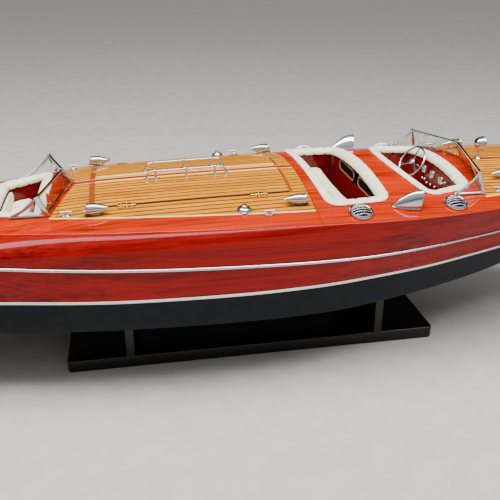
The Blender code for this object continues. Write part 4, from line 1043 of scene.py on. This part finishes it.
def rimShape(name):
    section = millimetres(rim["section"])
    loops = [cockpitLoop(name, inset) for inset, rise in section]
    guide = [Vector((x, y, 0)) for x, y in cockpitLoop(name, 6 * mm)]
    steps = [(b - a).length for a, b in zip(guide, guide[1:] + guide[:1])]
    total = sum(steps)
    seams = round(total / rim["seamStep"])
    rows = seams * rim["rows"]
    rings, pinned = [], []
    index, walked = 0, 0.0
    for row in range(rows):
        target = total * row / rows
        while walked + steps[index] < target:
            walked += steps[index]
            index += 1
        t = (target - walked) / steps[index]
        ring = []
        for (inset, rise), loop in zip(section, loops):
            a, b = loop[index], loop[(index + 1) % len(loop)]
            x, y = a[0] + (b[0] - a[0]) * t, a[1] + (b[1] - a[1]) * t
            ring.append(Vector((x, y, deckZ(x, y) + rise)))
        centre = sum(ring, Vector()) / len(ring)
        fromSeam = min(row % rim["rows"], -row % rim["rows"])
        atSeam = fromSeam == 0
        sink = rim["seamIn"] if atSeam else rim["nearSeam"] if fromSeam == 1 else 0.0
        for k, point in enumerate(ring):
            if k not in rim["underside"]:
                ring[k] = point + (centre - point).normalized() * sink
            if atSeam or k in rim["underside"]:
                pinned.append(len(rings) * len(ring) + k)
        rings.append(ring)
    return ringSkin(rings, wrap=True), pinned


for name in cockpits:
    newPad("coaming_" + name, *rimShape(name), rim["pressure"], rim["cap"], 0.8, "rim_" + name)

cushion = {"corner": 8.5 * mm, "tall": 12 * mm, "crown": 1.5 * mm, "pressure": 4.0, "cap": 1.0 * mm,
           "backHalf": 2.4 * mm, "backCorner": 2.2 * mm, "backCrown": 0.3 * mm, "backCap": 0.4 * mm,
           "under": 0.8 * mm, "boxInset": 1.5 * mm, "boxCorner": 5 * mm, "footRoom": 12 * mm}


def padLoop(longHalf, wideHalf, corner, inset):
    a, b = longHalf - inset, wideHalf - inset
    return flatSection(a, b, min(max(corner - inset, 1.2 * mm), a * 0.98, b * 0.98), 7, 26, 9)


def padShape(longHalf, wideHalf, corner, low, high, crown, place):
    # a closed pad: rounded underside, upright sides and a crowned top
    brow = min(4.2 * mm, (high - low) * 0.45)
    deepest = min(longHalf, wideHalf) - 0.8 * mm
    levels = [(3.0 * mm, low), (1.2 * mm, low + 0.5 * mm), (0.3 * mm, low + 1.6 * mm), (0.0, low + 3.2 * mm),
              (0.0, high - brow)]
    for k in range(1, 6):
        angle = math.radians(18 * k)
        levels.append((brow * (1 - math.cos(angle)), high - brow + brow * math.sin(angle)))
    for k in range(1, 7):
        inset = brow + (deepest - brow) * k / 6
        levels.append((inset, high + crown * (1 - (1 - k / 6) ** 2)))
    rings = [[place(a, b, z) for a, b in padLoop(longHalf, wideHalf, corner, inset)] for inset, z in levels]
    pinned = list(range(3 * len(rings[0])))     # the three rings of the underside stay put
    return ringSkin(rings), pinned


for name, pit in cockpits.items():
    wall = pitEdge["overhang"] + gap + pitEdge["wall"] + 0.5 * mm
    halfBack = pit["halfAft"] - wall - pit["seatSpare"]
    aftEdge = pit["aft"] + wall
    foreEdge = min(aftEdge + pit["seatDeep"], pit["fore"] - wall - cushion["footRoom"])
    deepHalf = (foreEdge - aftEdge) / 2

    def onSeat(a, b, z):
        # a runs fore and aft, b across; both follow the sweep of the aft wall
        x = (aftEdge + foreEdge) / 2 + a
        y = b * (1 + pit["splay"] * (x - aftEdge) / pit["seatDeep"])
        return Vector((x + pit["sweepAft"] * (b / pit["halfAft"]) ** 2, y, z))

    low = pit["seatTop"] - cushion["tall"]
    pad = padShape(deepHalf, halfBack, cushion["corner"], low, pit["seatTop"] - cushion["under"],
                   cushion["crown"], onSeat)
    newPad("seatCushion_" + name, *pad, cushion["pressure"], cushion["cap"], 0.75, "seat_" + name)
    backHalf = cushion["backHalf"]
    top = deckZ(aftEdge, 0) - pitEdge["drop"] - cushion["under"]

    def onBack(a, b, z):
        x = aftEdge + backHalf + a
        dip = deckZ(aftEdge, b) - deckZ(aftEdge, 0)
        share = (z - pit["seatTop"]) / (top - pit["seatTop"])
        return Vector((x + pit["sweepAft"] * (b / pit["halfAft"]) ** 2,
                       b * (1 + pit["splay"] * backHalf / pit["seatDeep"]), z + dip * share))

    pad = padShape(backHalf, halfBack, cushion["backCorner"], pit["seatTop"] - 1.5 * mm, top,
                   cushion["backCrown"], onBack)
    newPad("seatBack_" + name, *pad, cushion["pressure"], cushion["backCap"], 0.7)
    base = padLoop(deepHalf - cushion["boxInset"], halfBack - cushion["boxInset"], cushion["boxCorner"], 0.0)
    box = prism([onSeat(a, b, 0)[:2] for a, b in base], pit["floor"] + 0.1 * mm, low + 0.3 * mm)
    newPiece("seatBox_" + name, [(box, maroonLacquer)])

print("windshields")
shields = {
    "rear": {"topMid": (-0.2303, 0.1963), "footMid": -0.2221, "topEnd": (-0.2484, 0.0675, 0.1920),
             "footEnd": (-0.2416, 0.0663), "wing": (-0.2745, 0.0585), "post": 2.4 * mm},
    "front": {"topMid": (0.1784, 0.2033), "footMid": 0.1854, "topEnd": (0.1628, 0.0830, 0.1967),
              "footEnd": (0.1675, 0.0846), "wing": (0.1385, 0.0855), "post": 1.5 * mm},
}
bars = {"slim": 1.1 * mm, "foot": 1.0 * mm, "clear": 1.4 * mm, "sag": 2.2 * mm, "topJoint": 1.45 * mm,
        "wingJoint": 1.35 * mm, "footJoint": 1.2 * mm, "paneHalf": 0.3 * mm, "paneShare": 0.97}
slim = flatSection(bars["slim"], bars["slim"], 0.45 * mm)
thin = flatSection(bars["foot"], bars["foot"], 0.4 * mm)
centrePost = flatSection(1.25 * mm, 1.2 * mm, 0.5 * mm)
for name, plan in shields.items():
    frameShapes, wingShapes = [], []
    post = flatSection(plan["post"], bars["slim"] * 1.2, 0.5 * mm)
    for hand in (1, -1):
        topMid = Vector((plan["topMid"][0], 0, plan["topMid"][1]))
        x, y, z = plan["topEnd"]
        topEnd = Vector((x, hand * y, z))
        foot = []
        for k in range(9):
            share = k / 8
            x = plan["footMid"] + (plan["footEnd"][0] - plan["footMid"]) * share
            y = plan["footEnd"][1] * share
            foot.append(Vector((x, hand * y, deckZ(x, y) + bars["clear"])))
        x, y = plan["wing"]
        wing = Vector((x, hand * y, deckZ(x, y) + bars["clear"]))
        if hand == 1:
            down = (foot[0] - topMid).normalized()
            frameShapes += [sweep([topMid - down * 1.0 * mm, foot[0] + down * 0.5 * mm], centrePost, forward),
                            ball(topMid, bars["topJoint"])]
        run = (foot[-1] - topEnd).normalized()
        arm = [topEnd.lerp(wing, k / 10) - upright * (bars["sag"] * 4 * k / 10 * (1 - k / 10))
               for k in range(11)]
        frameShapes += [
            sweep([topMid, topEnd], slim, forward), sweep(foot, thin, forward),
            sweep([topEnd - run * 1.4 * mm, foot[-1] + run * 0.4 * mm], post, Vector((1, 0, 0.2))),
            sweep(arm, slim, forward), sweep([foot[-1], wing], thin, forward),
            ball(wing, bars["wingJoint"]), ball(foot[0], bars["footJoint"])]
        middle = (topEnd + foot[-1] + wing) / 3
        face = (topEnd - wing).cross(foot[-1] - wing).normalized() * bars["paneHalf"]
        corners = [middle + (p - middle) * bars["paneShare"] for p in (topEnd, foot[-1], wing)]
        wingShapes.append(ringSkin([[p - face for p in corners], [p + face for p in corners]]))
    newPiece("windshieldFrame_" + name, [(merged(frameShapes), polishedChrome)], "windshield_frame_" + name)
    newPiece("windshieldWings_" + name, [(merged(wingShapes), clearAcrylic)])
    for handName, hand in sides:
        nodes["windshield_glass_" + name + "_" + handName].material_slots[0].material = clearAcrylic

print("deck fittings")


def deckFrame(x, y, turn=0.0, lift=0.0):
    lean = Matrix.Rotation(-math.atan(y / hull["crownRadius"]), 4, "X")
    return (Matrix.Translation((x, y, deckZ(x, y))) @ lean @ Matrix.Rotation(turn, 4, "Z")
            @ Matrix.Translation((0, 0, lift)))


louvre = {"radius": 11.3 * mm, "hole": 8.7 * mm, "slats": 5, "slatStep": 3.05 * mm, "slatWide": 2.0 * mm,
          "tilt": -22, "low": 2.0 * mm, "dome": 2.5 * mm}


def louvreParts():
    r, h = louvre["radius"], louvre["hole"]
    bezel = spunRing([(r, 0.0), (r, 0.9 * mm), (r - 0.4 * mm, 1.6 * mm), (r - 1.0 * mm, 2.3 * mm),
                      (h + 0.5 * mm, 2.5 * mm), (h + 0.1 * mm, 2.2 * mm), (h, 1.6 * mm), (h, 0.0)], 64)
    # the near-black dish under the slats is painted shade, standing for the shadow inside the vent
    shadeDish = spun([(0, 0.2 * mm), (h + 0.3 * mm, 0.2 * mm), (h + 0.3 * mm, 0.8 * mm), (0, 0.8 * mm)], 40)
    tilt = math.radians(louvre["tilt"])
    section = [(a * math.cos(tilt) - b * math.sin(tilt), a * math.sin(tilt) + b * math.cos(tilt))
               for a, b in flatSection(louvre["slatWide"] / 2, 0.42 * mm, 0.3 * mm)]
    slats = []
    for k in range(louvre["slats"]):
        y = (k - (louvre["slats"] - 1) / 2) * louvre["slatStep"]
        half = math.sqrt((h + 0.1 * mm) ** 2 - y * y)
        path = [Vector((x, y, louvre["low"] + louvre["dome"] * (1 - (x * x + y * y) / (h * h))))
                for x in (half * (i / 8 - 1) for i in range(17))]
        slats.append(sweep(path, section, sideways))
    return [(merged([bezel] + slats), polishedChrome), (shadeDish, inkAndShadeBlack)]


def bulletParts(length, radius, lip, wall, slant=0.35, raised=0.5 * mm):
    # a teardrop held level on a small foot, its round mouth cut aslant, open and rolled over
    arch = 32

    def ring(share, shrink):
        swell = math.sin(0.5 * math.pi * min(share / 0.72, 1.0)) ** 0.85
        close = 1 - 0.10 * max(0.0, (share - 0.72) / 0.28) ** 2
        size = max(radius * (0.04 + 0.96 * swell) * close - shrink, 0.1 * mm)
        points = []
        for k in range(arch):
            across, up = (size * turn(2 * math.pi * k / arch) for turn in (math.cos, math.sin))
            points.append(Vector((length * share - slant * up * share ** 4, across, radius + raised + up)))
        return points

    outer = [ring(k / 30, 0.0) for k in range(31)]
    inner = [ring(1 - k / 20, wall) for k in range(13)]
    flare = sweep(ring(1.0, -0.1 * mm), roundSection(lip, 10), forward, wrap=True)
    throat = ringSkin([ring(1 - k / 20, wall + 0.05 * mm) for k in range(2, 13)])
    foot = ringSkin([[Vector((length * (0.62 + a * long), b * radius * wide, z))
                      for a, b in flatSection(1.0, 1.0, 0.95, 6)]
                     for long, wide, z in ((0.30, 0.55, -0.3 * mm), (0.30, 0.55, 0.3 * mm),
                                           (0.20, 0.30, 0.8 * mm), (0.18, 0.28, 2.5 * mm))])
    return [(merged([ringSkin(outer + inner), flare, foot]), polishedChrome), (throat, shadedGiltThroat)]


def clamParts(length, width, height, lean, lip, base):
    # a cowl like half a shell: its back arches up from a low tip and over to the open mouth
    arch = 32

    def ring(share, shrink, floor):
        grow = math.sin(0.5 * math.pi * share) ** 0.8
        half = width / 2 * (0.05 + 0.95 * grow) - shrink
        tall = height * (0.04 + 0.96 * math.sin(0.5 * math.pi * share) ** 0.9) - shrink
        points = []
        for k in range(arch + 1):
            angle = math.pi * k / arch
            bulge = math.sin(angle)
            pinch = 1 - 0.30 * bulge ** 2 * (1 - share)
            x = length * share + lean * share ** 3 * (bulge ** 2 - 0.45 * bulge ** 6)
            points.append(Vector((x, half * math.cos(angle) * pinch, floor + max(tall * bulge - floor, 0.0))))
        return points

    outer = [ring(k / 30, 0.0, 0.0) for k in range(31)]
    inner = [ring(1 - k / 20, 0.75 * mm, 0.5 * mm) for k in range(15)]
    flare = sweep(ring(1.0, 0.3 * mm, 0.0), roundSection(lip, 10), forward)
    throat = ringSkin([ring(1 - k / 20, 0.8 * mm, 0.55 * mm) for k in range(2, 15)])
    outline = [ring(k / 20, -base, 0.0)[0] for k in range(21)]
    outline += [ring(1 - k / 20, -base, 0.0)[-1] for k in range(21)]
    plate = prism([(p.x + (base if p.x > length * 0.9 else 0), p.y) for p in outline], 0.0, 0.6 * mm)
    return [(merged([ringSkin(outer + inner), flare, plate]), polishedChrome), (throat, shadedGiltThroat)]


def fillerParts():
    cap = [(0, 0), (6.7, 0), (6.7, 0.7), (6.45, 1.0), (5.9, 1.05), (5.75, 1.25), (5.5, 2.0), (4.9, 2.7),
           (3.9, 3.25), (2.9, 3.5), (2.3, 3.6), (2.1, 3.9), (2.5, 4.3), (2.55, 4.8), (2.3, 5.4), (1.5, 5.8),
           (0, 5.9)]
    return [(spun(millimetres(cap), 40), polishedChrome)]


def cleatParts():
    base = [(0, 0), (3.6, 0), (3.6, 0.5), (3.1, 0.9), (2.0, 1.3), (1.35, 2.0), (1.15, 3.2), (1.3, 4.2),
            (0.8, 4.7), (0, 4.8)]
    stem = moved(spun(millimetres(base), 28), Matrix.Scale(0.66, 4, (0, 1, 0)))
    bar = [(0, -6.0), (0.35, -5.95), (0.62, -5.6), (0.74, -4.6), (0.85, -2.4), (1.0, 0), (0.85, 2.4),
           (0.74, 4.6), (0.62, 5.6), (0.35, 5.95), (0, 6.0)]
    rod = spun(millimetres(bar), 18)
    turn = Matrix.Translation((0, 0, 4.1 * mm)) @ Matrix.Rotation(math.radians(90), 4, "Y")
    return [(merged([stem, moved(rod, turn)]), polishedChrome)]


bullet = bulletParts(length=21.5 * mm, radius=4.9 * mm, lip=0.8 * mm, wall=0.6 * mm)
clam = clamParts(length=24.5 * mm, width=15.5 * mm, height=15.5 * mm, lean=4.0 * mm, lip=0.75 * mm,
                 base=1.6 * mm)
grille, cleat = louvreParts(), cleatParts()
fittings = (    # name, parts, x, y, turn and lift
    ("louvre_vent_aft", grille, 0.0380, 0.1050, 0.0, 0.6 * mm),
    ("louvre_vent_fore", grille, 0.1330, 0.0985, 0.0, 0.6 * mm),
    ("filler_cap", fillerParts(), -0.0669, 0.0889, 0.0, 0.4 * mm),
    ("cleat_aft", cleat, -0.2250, 0.0705, 0.0, 0.2 * mm),
    ("cleat_middle", cleat, -0.0458, 0.0980, 0.0, 0.2 * mm),
    ("cleat_fore", cleat, 0.1870, 0.0800, 0.0, 0.2 * mm),
    ("bullet_vent_aft", bullet, -0.1855, 0.0740, math.pi, 0.3 * mm),
    ("bullet_vent_middle", bullet, -0.0300, 0.0850, 0.0, 0.3 * mm),
    ("bullet_vent_fore", bullet, 0.1900, 0.0560, 0.0, 0.3 * mm),
    ("clam_vent", clam, 0.0700, 0.0985, 0.0, 0.4 * mm),
)
for handName, hand in sides:
    for name, parts, x, y, turn, lift in fittings:
        placed = [(moved(shape, deckFrame(x, hand * y, turn, lift)), material) for shape, material in parts]
        newPiece(name + "_" + handName + "_cast", placed, name + "_" + handName)

lampStand = [(0, 0), (3.2, 0), (3.15, 0.5), (2.6, 1.1), (1.9, 1.7), (1.6, 2.6), (1.5, 4.0), (1.0, 4.8),
             (0.9, 6.5), (0.9, 10.5), (0, 10.8)]
lampHead = [(0, -6.0), (1.6, -5.85), (3.1, -5.35), (4.5, -4.4), (5.7, -3.0), (6.6, -1.2), (7.1, 0.9),
            (7.35, 2.6), (7.6, 3.0), (7.6, 4.0), (7.2, 4.5), (6.5, 4.6), (6.3, 4.2)]
lampGlass = [(6.4, 3.9), (5.0, 4.5), (3.0, 4.9), (0, 5.1)]
aimed = Matrix.Translation((0, 0, 16.5 * mm)) @ Matrix.Rotation(math.radians(90), 4, "Y")
spot = deckFrame(0.2046, 0.0, 0.0, 0.1 * mm)
lampParts = [(moved(spun(millimetres(lampStand), 24), spot), polishedChrome),
             (moved(spun(millimetres(lampHead), 36), spot @ aimed), polishedChrome),
             (moved(spun(millimetres([(0, 3.6)] + lampGlass), 36), spot @ aimed), clearAcrylic)]
newPiece("searchlight_cast", lampParts, "searchlight")

print("hatch rails and hinges")
rail = {"posts": (-0.1414, -0.1115, -0.0832), "feet": (-0.1505, -0.0720), "y": 14.5 * mm, "tall": 8.0 * mm,
        "radius": 1.05 * mm, "bend": 7.5 * mm, "socket": 1.8 * mm}
footProfile = [(0, 0), (2.4, 0), (2.35, 0.4), (2.0, 0.9), (1.4, 1.9), (1.1, 2.8), (0.95, 3.4), (0, 3.5)]
postProfile = [(0, 0), (2.4, 0), (2.35, 0.4), (1.9, 1.0), (1.2, 2.0), (0.85, 3.2), (0.8, 5.8), (1.0, 6.5),
               (1.5, 7.0), (1.75, 7.8), (1.75, 8.3), (1.5, 9.0), (0.9, 9.5), (0, 9.7)]
for name, hand in sides:
    y = hand * rail["y"]

    def railZ(x):
        return deckZ(x, rail["y"]) + hatch["raise"]

    def railEnd(end, inward):
        path = []
        for k in range(10):
            angle = math.radians(90 * k / 9)
            x = end + inward * rail["bend"] * (1 - math.cos(angle))
            path.append((x, y, railZ(x) + rail["socket"] + (rail["tall"] - rail["socket"]) * math.sin(angle)))
        return path

    low, high = rail["feet"]
    path = railEnd(low, 1)
    for k in range(1, 12):
        x = low + rail["bend"] + (high - low - 2 * rail["bend"]) * k / 12
        path.append((x, y, railZ(x) + rail["tall"]))
    path += reversed(railEnd(high, -1))
    shapes = [sweep(path, roundSection(rail["radius"], 14), sideways)]
    for places, profile in ((rail["feet"], footProfile), (rail["posts"], postProfile)):
        for x in places:
            post = spun(millimetres(profile), 20)
            shapes.append(moved(post, Matrix.Translation((x, y, railZ(x) + 0.1 * mm))))
    newPiece("liftRail_" + name, [(merged(shapes), polishedChrome)], "handrail_" + name, "hatch_" + name)

hinge = {"x": {"aft": -0.1710, "fore": -0.0490}, "y": 65.9 * mm, "pin": 1.3 * mm, "half": 8.0 * mm,
         "knuckles": 5, "radius": 0.8 * mm, "leafThick": 0.5 * mm, "screw": 0.5 * mm, "screwStep": 5.2 * mm,
         "leaves": ((-0.2 * mm, 2.4 * mm, 0.15 * mm), (-0.3 * mm, -3.4 * mm, 1.35 * mm))}


def screwHead(radius):
    return spun([(0, -0.1 * mm), (radius, -0.1 * mm), (radius, 0.05 * mm), (radius * 0.7, 0.16 * mm),
                 (0, 0.2 * mm)], 12)


def hingePin(x, hand):
    y = hand * hinge["y"]
    ends = [Vector((at, y, deckZ(at, y) + hinge["pin"])) for at in hinge["x"].values()]
    return ends[0].lerp(ends[1], (x - ends[0].x) / (ends[1].x - ends[0].x))


for name, hand in sides:
    for place, x in hinge["x"].items():
        knuckle = 2 * hinge["half"] / hinge["knuckles"]
        shapes = ([], [])     # the fixed half and the leaf's half
        for k in range(hinge["knuckles"]):
            start = x - hinge["half"] + k * knuckle + 0.08 * mm
            path = [hingePin(start, hand), hingePin(start + knuckle - 0.16 * mm, hand)]
            shapes[k % 2].append(sweep(path, roundSection(hinge["radius"], 14), sideways))
        spot = deckFrame(x, hand * hinge["y"])
        if hand < 0:
            spot = spot @ Matrix.Rotation(math.pi, 4, "Z")
        for part, (near, far, low) in enumerate(hinge["leaves"]):
            middle = (near + far) / 2
            high = low + hinge["leafThick"]
            outline = flatSection(hinge["half"], abs(far - near) / 2, 0.5 * mm)
            shapes[part].append(moved(prism([(a, middle + b) for a, b in outline], low, high), spot))
            for k in (-1, 0, 1):
                head = Matrix.Translation((k * hinge["screwStep"], middle + (0.25 - 0.5 * part) * mm, high))
                shapes[part].append(moved(screwHead(hinge["screw"]), spot @ head))
        label = name + "_" + place
        newPiece("hingeFixed_" + label, [(merged(shapes[0]), polishedBrass)], "hinge_" + label)
        newPiece("hingeLeaf_" + label, [(merged(shapes[1]), polishedBrass)], body="hatch_" + name)

print("dashboard and wheel")
dash = {"x": 154.6 * mm, "thick": 3.9 * mm, "half": 60 * mm, "gauges": (20.8 * mm, 0.0, -20.8 * mm),
        "gaugeZ": 0.1690,
        "knobs": ((20.4, 159.2), (14.4, 159.9), (8.4, 157.1), (-1.3, 158.1), (-11.6, 158.7), (-27.5, 167.8),
                  (-34.5, 170.7))}
dashLow = cockpits["front"]["floor"] + 4 * mm
dashTop = [(y, deckZ(dash["x"], y) - pitEdge["drop"] - 0.6 * mm)
           for y in (dash["half"] * (k / 12 - 1) for k in range(25))]
outline = [(-dash["half"], dashLow), *dashTop, (dash["half"], dashLow)]
rings = [[Vector((x, y, z)) for y, z in outline] for x in (dash["x"], dash["x"] + dash["thick"])]
dashParts = [(ringSkin(rings), maroonLacquer)]
toFace = Matrix.Rotation(math.radians(-90), 4, "Y")       # a turned part's Z comes out of the panel
bezelProfile = [(5.0, -0.5), (5.0, 0.7), (4.8, 1.2), (4.35, 1.45), (4.0, 1.3), (3.85, 0.8), (3.85, -0.5)]
for y in dash["gauges"]:
    spot = Matrix.Translation((dash["x"], y, dash["gaugeZ"])) @ toFace
    dashParts.append((moved(spunRing(millimetres(bezelProfile), 40), spot), polishedChrome))
    card = spun([(0, -0.3 * mm), (3.9 * mm, -0.3 * mm), (3.9 * mm, 0.25 * mm), (0, 0.25 * mm)], 32)
    dashParts.append((moved(card, spot), dialCard))
    for k in range(9):
        angle = math.radians(-120 + 30 * k)
        tick = Matrix.Rotation(angle, 4, "Z") @ Matrix.Translation((3.0 * mm, 0, 0.27 * mm))
        mark = prism(flatSection(0.5 * mm, 0.12 * mm, 0.05 * mm, 1), 0, 0.05 * mm)
        dashParts.append((moved(mark, spot @ tick), inkAndShadeBlack))
    needle = prism(millimetres([(-0.4, -0.2), (2.7, 0), (-0.4, 0.2)]), 0.35 * mm, 0.45 * mm)
    dashParts.append((moved(needle, spot @ Matrix.Rotation(math.radians(40 + y * 2000), 4, "Z")), inkAndShadeBlack))
knobProfile = [(0, -0.5), (0.7, -0.5), (0.7, 0.8), (1.5, 1.0), (1.8, 1.5), (1.8, 2.2), (1.4, 2.8), (0, 3.0)]
for y, z in dash["knobs"]:
    spot = Matrix.Translation((dash["x"], y * mm, z * mm)) @ toFace
    dashParts.append((moved(spun(millimetres(knobProfile), 18), spot), polishedChrome))
wheel = {"centre": Vector((0.1400, 0.0237, 0.1775)), "normal": Vector((-0.80, -0.20, 0.56)).normalized(),
         "radius": 17.2 * mm, "grip": 1.1 * mm}
hub = wheel["centre"] - wheel["normal"] * 3.0 * mm
end = hub - wheel["normal"] * ((dash["x"] + 1 * mm - hub.x) / -wheel["normal"].x)
dashParts.append((sweep([hub, end], roundSection(1.6 * mm, 20), sideways), polishedChrome))
newPiece("dashPanel", dashParts, "dashboard")

ringShape = spunRing([(wheel["radius"] + a, b) for a, b in roundSection(wheel["grip"], 14)], 72)
hubProfile = [(0, -2.5), (2.2, -2.5), (2.9, -1.6), (3.0, -0.8), (3.4, -0.2), (3.4, 0.5), (2.7, 1.1),
              (2.0, 1.5), (1.1, 1.9), (0, 2.0)]
wheelShapes = [ringShape, spun(millimetres(hubProfile), 28)]
for k in range(3):
    angle = math.radians(90 + 120 * k)
    out = Vector((math.cos(angle), math.sin(angle), 0))
    across = Vector((-out.y, out.x, 0))
    spoke = flatSection(1.15 * mm, 0.5 * mm, 0.35 * mm)
    wheelShapes.append(sweep([out * 1 * mm, out * wheel["radius"]], spoke, across))
wheelShape = moved(merged(wheelShapes), facing(wheel["centre"], wheel["normal"]))
newPiece("helmWheel", [(wheelShape, polishedChrome)], "steering_wheel", "steering_wheel")

print("running gear")
shaftFore, shaftAft = Vector((-0.2500, 0, 0.0415)), Vector((-0.3720, 0, 0.0325))
run = (shaftAft - shaftFore).normalized()
shaftShapes = [sweep([shaftFore, shaftAft], roundSection(1.5 * mm, 20), sideways)]
shaftShapes.append(ringSkin([[Vector((x, a * grow, 0.0419 + b * grow)) for a, b in
                              flatSection(2.2 * mm, 2.3 * mm, 1.6 * mm)]
                             for x, grow in ((-0.2640, 0.35), (-0.2632, 0.7), (-0.2610, 1.0), (-0.2430, 1.0),
                                             (-0.2406, 0.9), (-0.2400, 0.6))]))
at = shaftFore + run * 0.108     # the strut's barrel
keelHere = line("keelHeight", at.x)
shaftShapes.append(sweep([at - run * 6 * mm, at + run * 6 * mm], roundSection(2.5 * mm, 24), sideways))
legSection = [(4.0, 0.0), (2.8, 0.6), (0.8, 0.9), (-1.6, 0.8), (-4.0, 0.15), (-4.0, -0.15), (-1.6, -0.8),
              (0.8, -0.9), (2.8, -0.6)]
shaftShapes.append(ringSkin([[Vector((at.x + a * mm, b * mm, z)) for a, b in legSection]
                             for z in (at.z, keelHere - 0.5 * mm)]))
newPiece("screwShaft", [(merged(shaftShapes), polishedBrass)], "propeller_shaft")

hubProfile = [(0, -6.0), (2.3, -6.0), (2.5, -5.7), (2.9, -4.0), (3.0, -2.5), (2.95, 2.0), (2.7, 3.6),
              (2.0, 4.6), (1.9, 4.9), (1.9, 5.6), (1.2, 6.3), (0, 6.6)]
screwShapes = [spun(millimetres(hubProfile), 28)]
bladePlan = ((1.2, 6.0, 62), (3.2, 7.4, 56), (5.2, 9.2, 50), (7.2, 10.6, 44), (9.2, 11.0, 38),
             (10.8, 9.8, 34), (12.0, 7.8, 31), (12.8, 5.2, 29), (13.2, 2.4, 28))     # radius, chord, pitch
for k in range(3):
    rings = []
    for radius, chord, pitch in bladePlan:
        slant = math.radians(pitch)
        across = Vector((0, math.cos(slant), math.sin(slant)))
        thick = Vector((0, -math.sin(slant), math.cos(slant))) * 0.5 * mm * (1.25 - radius / 14)
        rings.append([Vector((radius * mm, 0, 0)) + across * chord / 2 * mm * a + thick * b
                      for a, b in roundSection(1.0, 14)])
    screwShapes.append(moved(ringSkin(rings), Matrix.Rotation(2 * math.pi * k / 3, 4, "Z")))
spot = facing(shaftAft + run * 6.4 * mm, run)
newPiece("brassScrew", [(moved(merged(screwShapes), spot), polishedBrass)], "propeller", "propeller")

rudderX = -0.4120
keelHere = line("keelHeight", rudderX)
bladeTop = keelHere - 4.5 * mm
rings = []
for z, ahead, astern in ((0.0190, 3.2, 9.0), (0.0194, 4.2, 10.4), (0.0206, 5.8, 12.0), (0.0230, 8.0, 14.0),
                         (0.0300, 9.0, 15.2), (bladeTop - 6 * mm, 9.0, 16.0), (bladeTop - 2 * mm, 8.2, 15.8),
                         (bladeTop - 0.4 * mm, 7.4, 15.4), (bladeTop, 6.6, 14.8)):
    section = [(ahead, 0.0), (ahead * 0.8, 0.7), (ahead * 0.4, 1.1), (0.0, 1.2), (-astern * 0.5, 0.75),
               (-astern, 0.2), (-astern, -0.2), (-astern * 0.5, -0.75), (0.0, -1.2), (ahead * 0.4, -1.1),
               (ahead * 0.8, -0.7)]
    rings.append([Vector((rudderX + a * mm, b * mm, z)) for a, b in section])
stock = spun([(0, bladeTop - 10 * mm), (1.6 * mm, bladeTop - 10 * mm), (1.6 * mm, keelHere - 0.9 * mm),
              (0, keelHere - 0.9 * mm)], 20)
stock = moved(stock, Matrix.Translation((rudderX, 0, 0)))
newPiece("brassRudder", [(merged([ringSkin(rings), stock]), polishedBrass)], "rudder", "rudder")

print("stand")
stand = {"length": 0.390, "width": 0.1106, "height": 13 * mm, "middle": -0.047, "corner": 5 * mm,
         "edge": 1.4 * mm, "cradleThick": 9 * mm, "soft": 0.9 * mm,
         "cradles": {"cradle_aft": -0.1786, "cradle_fore": 0.0846}}


def boardRing(inset, z):
    section = flatSection(stand["length"] / 2 - inset, stand["width"] / 2 - inset,
                          max(stand["corner"] - inset, 1 * mm), 8)
    return [Vector((stand["middle"] + a, b, z)) for a, b in section]


rings = [boardRing(0.6 * mm, 0.0), boardRing(0.0, 0.6 * mm)]
for k in range(6):
    angle = math.radians(18 * k)
    edge = stand["edge"]
    rings.append(boardRing(edge * (1 - math.cos(angle)), stand["height"] - edge + edge * math.sin(angle)))
newPiece("standBoard", [(ringSkin(rings), blackLacquer)], "base_board")
for name, x in stand["cradles"].items():
    low, high = x - stand["cradleThick"] / 2, x + stand["cradleThick"] / 2
    half = stand["width"] / 2

    def veeHeight(at, y):
        keel, chine = line("keelHeight", at), line("chineHeight", at)
        return keel + (chine - keel) * abs(y) / line("chine", at)

    def cradleRing(at, inset):
        ys = [-half + inset + (2 * half - 2 * inset) * k / 16 for k in range(17)]
        top = [(y, min(veeHeight(low, y), veeHeight(high, y)) - 0.6 * mm - inset) for y in ys]
        foot = stand["height"] + 0.1 * mm
        return [Vector((at, y, z)) for y, z in [(-half + inset, foot)] + top + [(half - inset, foot)]]

    soft = stand["soft"]
    rings = [cradleRing(low, soft), cradleRing(low + soft * 0.3, soft * 0.3), cradleRing(low + soft, 0.0),
             cradleRing(high - soft, 0.0), cradleRing(high - soft * 0.3, soft * 0.3), cradleRing(high, soft)]
    newPiece(name + "_board", [(ringSkin(rings), blackLacquer)], name)

print("floor")
floorMesh = bpy.data.meshes.new("floor")
floorMesh.from_pydata([(-9, -9, 0), (9, -9, 0), (9, 9, 0), (-9, 9, 0)], [], [(0, 1, 2, 3)])
floorMesh.materials.append(paleFloor)
floor = bpy.data.objects.new("floor", floorMesh)
floor.location.z = -0.0002
bpy.context.collection.objects.link(floor)

print("done")
